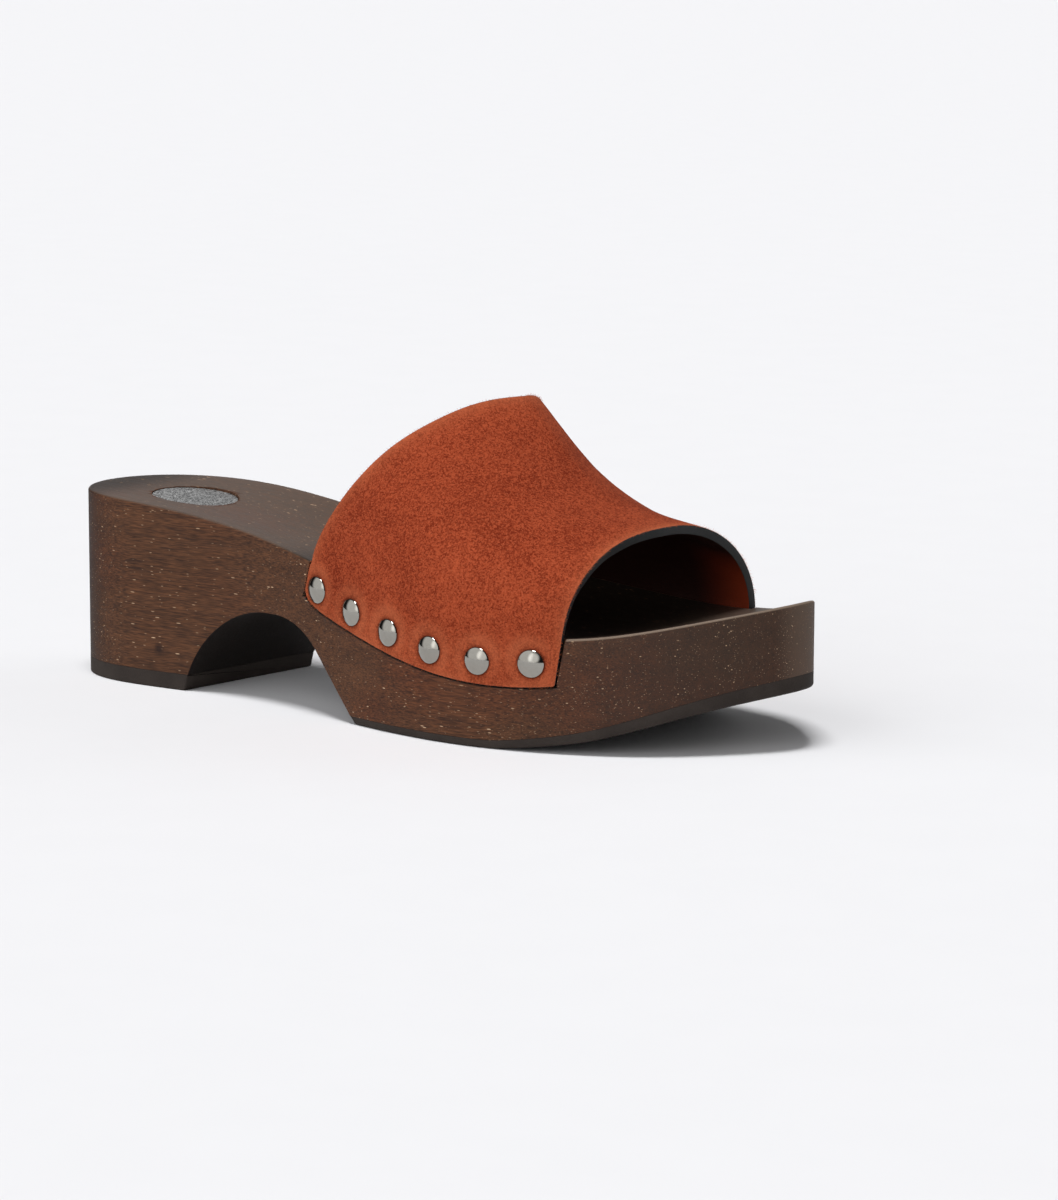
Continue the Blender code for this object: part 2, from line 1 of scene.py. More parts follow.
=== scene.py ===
"""Studio scene of a right sandal clog: a carved wooden sole, rubber treads and a wide nailed suede band.

Lengths are in metres. The shoe's own curves run from the back of the heel (x = 0) to the toe, with the medial
side at +y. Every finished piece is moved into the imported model's frame, which stands over the origin.
"""

import logging
import math
from collections.abc import Callable
from dataclasses import dataclass, field
from enum import Enum
from functools import cached_property

import bmesh
import bpy
import numpy as np
from mathutils import Matrix, Vector, noise


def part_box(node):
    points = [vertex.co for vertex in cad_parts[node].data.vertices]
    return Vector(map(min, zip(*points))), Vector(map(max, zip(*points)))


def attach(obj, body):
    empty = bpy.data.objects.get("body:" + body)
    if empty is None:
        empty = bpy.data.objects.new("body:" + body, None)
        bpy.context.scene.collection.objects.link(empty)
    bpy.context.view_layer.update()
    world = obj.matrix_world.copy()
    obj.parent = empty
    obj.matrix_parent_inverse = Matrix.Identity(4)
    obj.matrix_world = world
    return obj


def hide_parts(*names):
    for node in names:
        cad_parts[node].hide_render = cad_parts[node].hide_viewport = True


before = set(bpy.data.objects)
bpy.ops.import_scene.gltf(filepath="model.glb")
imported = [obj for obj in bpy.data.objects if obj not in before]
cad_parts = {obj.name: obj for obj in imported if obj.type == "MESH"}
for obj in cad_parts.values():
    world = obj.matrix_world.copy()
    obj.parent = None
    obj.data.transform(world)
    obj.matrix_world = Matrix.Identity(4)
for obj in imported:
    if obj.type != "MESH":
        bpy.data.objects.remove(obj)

log = logging.getLogger("sandal_clog")

Colour = tuple[float, float, float]
Socket = bpy.types.NodeSocket

# Gives heights from x, y and the share of the way from the sole's axis to its wall.
HeightField = Callable[[np.ndarray, np.ndarray, np.ndarray], np.ndarray]

# Share of the sole's length, its centre line as a share of the toe swing, and its width as a mix of the
# heel's and the ball's.
OUTLINE = [
    # station, swing, of_heel, of_ball
    (0.00, 0.00, 0.00, 0.00),
    (0.15, 0.19, 1.00, 0.00),
    (0.30, -0.07, 0.78, 0.10),
    (0.45, -0.16, 0.36, 0.53),
    (0.58, -0.10, 0.10, 0.875),
    (0.70, 0.14, 0.00, 1.00),
    (0.82, 0.54, 0.00, 0.892),
    (0.92, 0.94, 0.00, 0.618),
    (1.00, 1.00, 0.00, 0.00),
]

# Rim height as a mix of the heel's, the ball's and the toe's, and the hollow of the footbed below it.
FOOTBED = [
    # station, lateral_heel, medial_heel, lateral_toe, medial_toe, heel_dish, arch_dish, toe_dish
    (0.00, 1.00, 1.00, 0.00, 0.00, 0.0, 0.0, 0.0),
    (0.15, 0.935, 0.950, 0.00, 0.00, 1.0, 0.0, 0.0),
    (0.30, 0.730, 0.800, 0.00, 0.00, 0.5, 0.6, 0.0),
    (0.45, 0.440, 0.450, 0.00, 0.00, 0.0, 1.0, 0.0),
    (0.58, 0.190, 0.180, 0.00, 0.00, 0.0, 0.9, 0.2),
    (0.70, 0.000, 0.000, 0.00, 0.00, 0.0, 0.6, 0.7),
    (0.82, 0.000, 0.000, 0.02, -0.19, 0.0, 0.2, 1.0),
    (0.92, 0.000, 0.000, 0.52, 0.16, 0.0, 0.0, 0.9),
    (1.00, 0.000, 0.000, 1.00, 1.00, 0.0, 0.0, 0.0),
]

# The forefoot's underside as a share of the toe spring, and how far its rubber has thickened.
ROCKER = [
    # station, spring, thickening
    (0.64, 0.000, 0.00),
    (0.70, 0.000, 0.05),
    (0.76, 0.090, 0.14),
    (0.82, 0.240, 0.32),
    (0.88, 0.500, 0.54),
    (0.94, 0.778, 0.80),
    (1.00, 1.000, 1.00),
]

# Sections of the band, from its rear edge (0) to its toe opening (1).
BAND = [
    # section, crown_along, crown_drop, lat_fullness, med_fullness, lat_sweep, med_sweep, lat_tab, med_tab
    (0.00, 0.000, 0.000, 2.50, 2.06, 0.96, 0.02, 0.80, 0.95),
    (0.25, 0.221, 0.341, 2.45, 1.92, 0.98, 0.14, 0.93, 1.00),
    (0.50, 0.455, 0.646, 2.40, 1.77, 1.00, 0.27, 1.00, 0.94),
    (0.75, 0.727, 0.890, 2.39, 1.96, 1.00, 0.39, 0.95, 0.76),
    (1.00, 1.000, 1.000, 2.38, 2.15, 1.00, 0.52, 0.835, 0.74),
]

# Soft folds in the band, each a trough along a line on the leather. Lengths in metres.
FOLDS = [
    # from_section, from_across, to_section, to_across, width, depth
    (0.10, 0.20, 0.42, 0.36, 0.0055, 0.00035),
    (0.30, 0.14, 0.55, 0.27, 0.0050, 0.00022),
    (0.62, 0.30, 0.93, 0.40, 0.0060, 0.00028),
    (0.55, 0.60, 0.90, 0.70, 0.0060, 0.00035),
    (0.15, 0.72, 0.45, 0.66, 0.0055, 0.00030),
    (0.70, 0.16, 0.95, 0.24, 0.0045, 0.00018),
]

# The studio's soft windows of light. Directions are the camera's: to its right, towards it and up.
WINDOWS = [
    # name, to_right, to_camera, up, inner_degrees, outer_degrees, radiance
    ("top", -0.05, 0.12, 1.00, 6.0, 11.0, 33.4),
    ("ceiling", 0.00, 0.00, 1.00, 15.0, 60.0, 0.06),
    ("left", -0.90, 0.38, 0.46, 27.0, 46.0, 1.05),
    ("front", -0.30, 0.88, 0.38, 16.0, 33.0, 1.35),
    ("right", 0.92, -0.33, 0.34, 12.0, 30.0, 1.15),
    ("back", 0.10, -1.00, 0.10, 20.0, 56.0, 0.30),
]

# How the rear edge settles over the instep, each a low rise or hollow. Lengths in metres.
CROWN = [
    # across, width, height
    (0.0160, 0.0060, 0.00045),
    (-0.0180, 0.0075, -0.0010),
]


class Slot(Enum):
    """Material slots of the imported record."""

    WOOD = "wood"
    RUBBER = "rubber"
    SUEDE = "suede"
    NAIL = "nail_metal"
    DISC = "disc_metal"


def column(table: list[tuple[float, ...]], index: int) -> np.ndarray:
    """One column of a table, as an array."""
    return np.array([row[index] for row in table], float)


class Curve:
    """A natural cubic through values at stations, level outside the first and the last."""

    def __init__(self, stations: np.ndarray, values: np.ndarray) -> None:
        """Solves the cubic's bends.

        Args:
            stations: Rising places.
            values: The value at each place.
        """
        self.x, self.y = np.asarray(stations, float), np.asarray(values, float)
        self.h = np.diff(self.x)
        count = len(self.x)
        system, right = np.eye(count), np.zeros(count)
        for i in range(1, count - 1):
            system[i, i - 1 : i + 2] = self.h[i - 1], 2 * (self.h[i - 1] + self.h[i]), self.h[i]
            rise = (self.y[i + 1] - self.y[i]) / self.h[i]
            right[i] = 6 * (rise - (self.y[i] - self.y[i - 1]) / self.h[i - 1])
        self.bend = np.linalg.solve(system, right)

    def __call__(self, place: np.ndarray | float) -> np.ndarray:
        """The value at one or many places.

        Args:
            place: Where to read the curve.
        Returns:
            Values of the same shape.
        """
        s = np.clip(np.asarray(place, float), self.x[0], self.x[-1])
        i = np.clip(np.searchsorted(self.x, s) - 1, 0, len(self.x) - 2)
        h = self.h[i]
        a, b = (self.x[i + 1] - s) / h, (s - self.x[i]) / h
        cubic = (a**3 - a) * self.bend[i] + (b**3 - b) * self.bend[i + 1]
        return a * self.y[i] + b * self.y[i + 1] + cubic * h**2 / 6


def smooth_step(value: np.ndarray | float, low: float, high: float) -> np.ndarray:
    """A soft rise from 0 at low to 1 at high."""
    t = np.clip((np.asarray(value, float) - low) / (high - low), 0, 1)
    return t * t * (3 - 2 * t)


@dataclass(frozen=True)
class Tunnel:
    """The tunnel between heel and forefoot, turned a little in plan."""

    breast_x: float = 0.0545
    height: float = 0.0275
    flat: float = 0.0033
    rear_radius: float = 0.0345
    front_radius: float = 0.0270
    ramp: float = math.radians(46.0)
    turn: float = math.radians(7.0)

    @property
    def rear_x(self) -> float:
        """Where the rear arc reaches the top."""
        drop = self.rear_radius - self.height
        return self.breast_x + math.sqrt(self.rear_radius**2 - drop**2)

    @property
    def front_x(self) -> float:
        """Where the front arc leaves the top."""
        return self.rear_x + self.flat

    @property
    def ramp_top(self) -> tuple[float, float]:
        """Where the straight ramp starts, as x and z."""
        turn = math.pi / 2 - self.ramp
        z = self.height - self.front_radius + self.front_radius * math.sin(turn)
        return self.front_x + self.front_radius * math.cos(turn), z

    @property
    def ramp_foot(self) -> float:
        """Where the ramp reaches the floor."""
        x, z = self.ramp_top
        return x + z / math.tan(self.ramp)

    def ceiling(self, line: np.ndarray) -> np.ndarray:
        """Height of the tunnel's surface along its own axis.

        Args:
            line: Distance from the heel's back to the tunnel's straight lines, measured on the shoe's axis.
        Returns:
            Heights, below the floor outside the tunnel.
        """
        rear = self.height - self.rear_radius
        rear = rear + np.sqrt(np.clip(self.rear_radius**2 - (line - self.rear_x) ** 2, 0, None))
        front = self.height - self.front_radius
        front = front + np.sqrt(np.clip(self.front_radius**2 - (line - self.front_x) ** 2, 0, None))
        top_x, top_z = self.ramp_top
        ramp = top_z - (line - top_x) * math.tan(self.ramp)
        z = np.where(line < self.rear_x, rear, np.where(line < self.front_x, self.height, front))
        z = np.where(line > top_x, ramp, z)
        outside = (line < self.breast_x) | (line > self.ramp_foot)
        return np.where(outside, -1.0, z)

    def rear_at(self, z: float) -> float:
        """Where the rear arc is at a height."""
        rise = z - self.height + self.rear_radius
        return self.rear_x - math.sqrt(self.rear_radius**2 - rise**2)

    def ramp_at(self, z: float) -> float:
        """Where the ramp is at a height."""
        return self.ramp_foot - z / math.tan(self.ramp)


@dataclass(frozen=True)
class Last:
    """The sizes and curves that the whole shoe follows."""

    length: float = 0.250
    heel_width: float = 0.057
    ball_width: float = 0.0906
    toe_swing: float = 0.0072
    heel_tip_radius: float = 0.0288
    toe_tip_radius: float = 0.0118
    heel_height: float = 0.0574
    ball_height: float = 0.0336
    toe_height: float = 0.0428
    toe_spring: float = 0.0174
    heel_lift: float = 0.0050
    tread: float = 0.0023
    toe_tread: float = 0.0045
    heel_dish: float = 0.0016
    arch_dish: float = 0.0030
    toe_dish: float = 0.0012
    seam: float = 0.00004
    tunnel: Tunnel = Tunnel()

    @cached_property
    def _curves(self) -> dict[str, Curve]:
        """The cubic of each quantity, by the share of the length."""
        stations = column(OUTLINE, 0)
        half = (column(OUTLINE, 2) * self.heel_width + column(OUTLINE, 3) * self.ball_width) / 2
        blunt = np.empty(len(stations))
        middle = stations[1:-1]
        blunt[1:-1] = half[1:-1] / (2 * np.sqrt(middle * (1 - middle)))
        blunt[0] = math.sqrt(self.heel_tip_radius * self.length / 2)
        blunt[-1] = math.sqrt(self.toe_tip_radius * self.length / 2)
        bed = column(FOOTBED, 0)
        rise, curl = self.heel_height - self.ball_height, self.toe_height - self.ball_height
        dish = column(FOOTBED, 5) * self.heel_dish + column(FOOTBED, 6) * self.arch_dish
        thickening = column(ROCKER, 2) * (self.toe_tread - self.tread)
        return {
            "blunt": Curve(stations, blunt),
            "centre": Curve(stations, column(OUTLINE, 1) * self.toe_swing),
            "lateral": Curve(bed, self.ball_height + column(FOOTBED, 1) * rise + column(FOOTBED, 3) * curl),
            "medial": Curve(bed, self.ball_height + column(FOOTBED, 2) * rise + column(FOOTBED, 4) * curl),
            "dish": Curve(bed, dish + column(FOOTBED, 7) * self.toe_dish),
            "spring": Curve(column(ROCKER, 0), column(ROCKER, 1) * self.toe_spring),
            "thickening": Curve(column(ROCKER, 0), thickening),
        }

    def centre(self, x: np.ndarray | float) -> np.ndarray:
        """Y of the sole's centre line."""
        return self._curves["centre"](np.asarray(x) / self.length)

    def half(self, x: np.ndarray | float) -> np.ndarray:
        """Half of the sole's width."""
        s = np.clip(np.asarray(x, float) / self.length, 0, 1)
        return self._curves["blunt"](s) * 2 * np.sqrt(s * (1 - s))

    def wall(self, x: np.ndarray | float, side: np.ndarray | float) -> np.ndarray:
        """Y of the side wall; side is -1 lateral or 1 medial."""
        return self.centre(x) + side * self.half(x)

    def normal(self, x: np.ndarray, side: np.ndarray | float) -> np.ndarray:
        """The wall's outward direction in plan.

        Args:
            x: Places along the shoe.
            side: -1 lateral or 1 medial.
        Returns:
            Unit vectors, with a last axis of 2.
        """
        step = self.length * 1e-4
        slope = (self.wall(x + step, side) - self.wall(x - step, side)) / (2 * step)
        out = np.stack([-side * slope, side * np.ones_like(slope)], -1)
        return out / np.linalg.norm(out, axis=-1, keepdims=True)

    def rim(self, x: np.ndarray | float, side: np.ndarray | float) -> np.ndarray:
        """Height of the rim.

        Args:
            x: Places along the shoe.
            side: -1 lateral, 1 medial, or a place between the two.
        Returns:
            Heights above the floor.
        """
        s = np.asarray(x) / self.length
        share = (np.clip(side, -1, 1) + 1) / 2
        return self._curves["lateral"](s) * (1 - share) + self._curves["medial"](s) * share

    def across(self, x: np.ndarray, y: np.ndarray) -> np.ndarray:
        """Where a point lies between the lateral rim (-1) and the medial rim (1)."""
        return (y - self.centre(x)) / np.maximum(self.half(x), 1e-4)

    def footbed(self, x: np.ndarray, y: np.ndarray, out: np.ndarray) -> np.ndarray:
        """The footbed's height.

        Args:
            x: Places along the shoe.
            y: Places across it.
            out: Shares of the way from the middle (0) to the rim (1).
        Returns:
            Heights above the floor.
        """
        dish = self._curves["dish"](np.asarray(x) / self.length)
        return self.rim(x, self.across(x, y)) - dish * (1 - out**2)

    def tread_bottom(self, x: np.ndarray | float) -> np.ndarray:
        """The underside of the forefoot's tread."""
        return np.maximum(0.0, self._curves["spring"](np.asarray(x) / self.length))

    def tread_top(self, x: np.ndarray | float) -> np.ndarray:
        """The upper face of the forefoot's tread."""
        return self.tread_bottom(x) + self.tread + self._curves["thickening"](np.asarray(x) / self.length)

    def wood_bottom(self, x: np.ndarray, y: np.ndarray) -> np.ndarray:
        """The wood's underside, tunnel included.

        Args:
            x: Places along the shoe.
            y: Places across it.
        Returns:
            Heights above the floor.
        """
        line = x - y * math.tan(self.tunnel.turn)
        flat = np.where(line < self.tunnel.rear_x, self.heel_lift, self.tread_top(x)) + self.seam
        return np.maximum(flat, self.tunnel.ceiling(line))

    @cached_property
    def shift(self) -> np.ndarray:
        """From the shoe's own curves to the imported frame."""
        low, high = (np.array(corner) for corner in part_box("wood_sole"))
        x = np.linspace(0, self.length, 2001)
        return np.array([(low[0] + high[0] - self.length) / 2, low[1] - self.wall(x, -1).min(), 0.0])


LAST = Last()


def surface(
    points: np.ndarray, closed: bool = False, marks: dict[str, np.ndarray] | None = None
) -> bmesh.types.BMesh:
    """A grid whose vertices are moved to rows and columns of points.

    Args:
        points: Rows by columns by 3, in the shoe's own coordinates.
        closed: Whether the last column joins the first.
        marks: Values for each point, kept as attributes of the vertices.
    Returns:
        The bmesh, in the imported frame.
    """
    marks = marks or {}
    if closed:
        points = np.concatenate([points, points[:, :1]], axis=1)
        marks = {name: np.concatenate([value, value[:, :1]], axis=1) for name, value in marks.items()}
    rows, columns = points.shape[:2]
    work = bmesh.new()
    bmesh.ops.create_grid(work, x_segments=columns - 1, y_segments=rows - 1, size=1.0)
    layers = {name: work.verts.layers.float.new(name) for name in marks}
    moved = points + LAST.shift
    for vert in work.verts:
        i = round((vert.co.y + 1) / 2 * (rows - 1))
        j = round((vert.co.x + 1) / 2 * (columns - 1))
        vert.co = moved[i, j]
        for name, layer in layers.items():
            vert[layer] = marks[name][i, j]
    bmesh.ops.remove_doubles(work, verts=work.verts, dist=2e-6)
    return work


def new_object(name: str, work: bmesh.types.BMesh) -> bpy.types.Object:
    """Makes a bmesh into an object of the scene.

    Args:
        name: The object's name.
        work: The bmesh, which is freed.
    Returns:
        The new object.
    """
    mesh = bpy.data.meshes.new(name)
    work.to_mesh(mesh)
    work.free()
    made = bpy.data.objects.new(name, mesh)
    bpy.context.scene.collection.objects.link(made)
    return made


def shade(mesh: bpy.types.Mesh, sharp: float) -> None:
    """Smooths a mesh, with crisp edges from an angle in degrees."""
    mesh.shade_smooth()
    mesh.set_sharp_from_angle(angle=math.radians(sharp))


def finish_piece(
    name: str, work: bmesh.types.BMesh, materials: list[bpy.types.Material], sharp: float = 40.0
) -> bpy.types.Object:
    """Makes a bmesh into a piece of the shoe.

    Args:
        name: The piece's name.
        work: The bmesh, which is freed.
        materials: One for each material index.
        sharp: Angle in degrees from which an edge stays crisp.
    Returns:
        The new object, riding on the shoe.
    """
    piece = new_object(name, work)
    shade(piece.data, sharp)
    for material in materials:
        piece.data.materials.append(material)
    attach(piece, "root")
    log.info("%s: %d faces", name, len(piece.data.polygons))
    return piece


def bake_modifiers(piece: bpy.types.Object, sharp: float) -> None:
    """Applies a piece's modifiers to its mesh.

    Args:
        piece: The object.
        sharp: Angle in degrees from which an edge stays crisp.
    """
    bpy.context.view_layer.update()
    done = piece.evaluated_get(bpy.context.evaluated_depsgraph_get())
    mesh = bpy.data.meshes.new_from_object(done)
    piece.modifiers.clear()
    piece.data = mesh
    shade(mesh, sharp)


def round_edges(work: bmesh.types.BMesh, edges: list[bmesh.types.BMEdge], radius: float) -> None:
    """Rounds some edges of a bmesh.

    Args:
        work: The bmesh.
        edges: Its edges to round.
        radius: The rounding.
    """
    bmesh.ops.bevel(
        work,
        geom=edges,
        offset=radius,
        offset_type="OFFSET",
        segments=3,
        profile=0.5,
        affect="EDGES",
        material=-1,
    )


@dataclass
class NodeSheet:
    """A short way to lay out a material's nodes."""

    name: str
    material: bpy.types.Material = field(init=False)

    def __post_init__(self) -> None:
        """Starts with a Principled shader and Object coordinates."""
        self.material = bpy.data.materials.new(self.name)
        self.material.use_nodes = True
        self.tree = self.material.node_tree
        self.shader = self.tree.nodes["Principled BSDF"]
        self.place = self.add("ShaderNodeTexCoord").outputs["Object"]

    def add(self, kind: str, **settings: object) -> bpy.types.Node:
        """Adds a node.

        Args:
            kind: Blender's name for it.
            settings: The node's own properties.
        Returns:
            The node.
        """
        node = self.tree.nodes.new(kind)
        for key, value in settings.items():
            setattr(node, key, value)
        return node

    def link(self, source: Socket, target: Socket) -> None:
        """Joins two sockets."""
        self.tree.links.new(source, target)

    def feed(self, name: str, source: Socket) -> None:
        """Joins a value to one of the shader's sockets."""
        self.link(source, self.shader.inputs[name])

    def constants(self, **values: object) -> None:
        """Sets the shader's own sockets, by name with underscores for spaces."""
        for key, value in values.items():
            self.shader.inputs[key.replace("_", " ")].default_value = value

    def axis(self, name: str) -> Socket:
        """X, Y or Z of the Object coordinates."""
        split = self.add("ShaderNodeSeparateXYZ")
        self.link(self.place, split.inputs[0])
        return split.outputs[name]

    def stretched(self, scale: tuple[float, float, float], turn: float = 0.0) -> Socket:
        """Object coordinates, stretched and turned.

        Args:
            scale: The factor on each axis.
            turn: Angle about Z.
        Returns:
            The coordinates' socket.
        """
        mapping = self.add("ShaderNodeMapping")
        mapping.inputs["Scale"].default_value = scale
        mapping.inputs["Rotation"].default_value = (0, 0, turn)
        self.link(self.place, mapping.inputs["Vector"])
        return mapping.outputs["Vector"]

    def noise(
        self, scale: float, detail: float = 3.0, rough: float = 0.5, at: Socket | None = None
    ) -> Socket:
        """A noise value.

        Args:
            scale: Features for each metre.
            detail: Octaves.
            rough: Weight of the finer octaves.
            at: Coordinates, or None for Object coordinates.
        Returns:
            The value's socket.
        """
        node = self.add("ShaderNodeTexNoise", noise_dimensions="3D")
        for key, value in (("Scale", scale), ("Detail", detail), ("Roughness", rough)):
            node.inputs[key].default_value = value
        self.link(at or self.place, node.inputs["Vector"])
        return node.outputs["Fac"]

    def cells(self, scale: float, at: Socket | None = None) -> tuple[Socket, list[Socket]]:
        """A pattern of cells.

        Args:
            scale: Cells for each metre.
            at: Coordinates, or None for Object coordinates.
        Returns:
            The distance from the nearest cell's middle, and three random values of that cell.
        """
        node = self.add("ShaderNodeTexVoronoi", voronoi_dimensions="3D", feature="F1")
        node.inputs["Scale"].default_value = scale
        self.link(at or self.place, node.inputs["Vector"])
        split = self.add("ShaderNodeSeparateColor")
        self.link(node.outputs["Color"], split.inputs[0])
        return node.outputs["Distance"], list(split.outputs)

    def ramp(self, value: Socket, low: float, high: float, start: float = 0.0, end: float = 1.0) -> Socket:
        """Maps a value softly from one range to another.

        Args:
            value: The value's socket.
            low: The value that gives start.
            high: The value that gives end.
            start: The result at low.
            end: The result at high.
        Returns:
            The result's socket.
        """
        node = self.add("ShaderNodeMapRange", interpolation_type="SMOOTHSTEP")
        for index, number in ((1, low), (2, high), (3, start), (4, end)):
            node.inputs[index].default_value = number
        self.link(value, node.inputs[0])
        return node.outputs[0]

    def math(self, operation: str, first: Socket, second: Socket | float) -> Socket:
        """One sum, product or comparison.

        Args:
            operation: Blender's name for it.
            first: The first value's socket.
            second: A number or a socket.
        Returns:
            The result's socket.
        """
        node = self.add("ShaderNodeMath", operation=operation)
        self.link(first, node.inputs[0])
        if isinstance(second, (int, float)):
            node.inputs[1].default_value = second
        else:
            self.link(second, node.inputs[1])
        return node.outputs[0]

    def times(self, first: Socket, second: Socket | float) -> Socket:
        """The product of two values."""
        return self.math("MULTIPLY", first, second)

    def plus(self, first: Socket, second: Socket | float) -> Socket:
        """The sum of two values."""
        return self.math("ADD", first, second)

    def mix(
        self, share: Socket | float, first: Socket | Colour, second: Socket | Colour, blend: str = "MIX"
    ) -> Socket:
        """Mixes two colours.

        Args:
            share: How much of the second.
            first: A colour or a socket.
            second: A colour or a socket.
            blend: Blender's name for the kind of mix.
        Returns:
            The colour's socket.
        """
        node = self.add("ShaderNodeMix", data_type="RGBA", blend_type=blend)
        for socket, value in ((node.inputs[0], share), (node.inputs[6], first), (node.inputs[7], second)):
            if isinstance(value, Socket):
                self.link(value, socket)
            elif isinstance(value, tuple):
                socket.default_value = (*value, 1.0)
            else:
                socket.default_value = value
        return node.outputs[2]

    def bump(self, height: Socket, depth: float, strength: float = 1.0) -> None:
        """Raises the surface by a height map, over any bump laid before it.

        Args:
            height: The map's socket.
            depth: Metres for a height of 1.
            strength: Blender's own strength.
        """
        node = self.add("ShaderNodeBump")
        node.inputs["Strength"].default_value = strength
        node.inputs["Distance"].default_value = depth
        self.link(height, node.inputs["Height"])
        before = self.shader.inputs["Normal"].links
        if before:
            self.link(before[0].from_socket, node.inputs["Normal"])
        self.feed("Normal", node.outputs["Normal"])

    def attribute(self, name: str) -> Socket:
        """A value kept on the vertices."""
        return self.add("ShaderNodeAttribute", attribute_name=name).outputs["Fac"]


@dataclass(frozen=True)
class Fade:
    """A tone that grows along the shoe, from 0 at one place to its most at another."""

    start: float
    stop: float
    most: float = 1.0

    def lay(self, sheet: NodeSheet) -> Socket:
        """The tone's share at each point."""
        return sheet.ramp(sheet.axis("X"), self.start, self.stop, 0.0, self.most)


@dataclass(frozen=True)
class Pores:
    """Pores that run with the grain.

    Args:
        scale: Cells for each metre across the grain.
        radius: A pore's radius as a share of its cell.
        chosen: Cells with a random value above this hold a pore.
        squeeze: How much shorter a length along the grain counts.
        core: Share of the radius where a pore is at its full tone.
        spread: How softly the choice of cells is made.
    """

    scale: float
    radius: float
    chosen: float
    squeeze: float
    core: float = 0.55
    spread: float = 0.04

    def lay(self, sheet: NodeSheet, turn: float) -> Socket:
        """Lays the pores out, in crowds and thinner between them.

        Args:
            sheet: The material's nodes.
            turn: The grain's angle to the shoe's axis.
        Returns:
            Up to 1 in a pore and 0 outside it.
        """
        distance, picked = sheet.cells(self.scale, sheet.stretched((self.squeeze, 1.0, 1.0), turn))
        inside = sheet.ramp(distance, self.radius, self.radius * self.core)
        keep = sheet.ramp(picked[0], self.chosen, self.chosen + self.spread)
        crowd = sheet.ramp(sheet.noise(55.0, 2.0), 0.40, 0.62, 0.60, 1.0)
        return sheet.times(sheet.times(inside, keep), crowd)


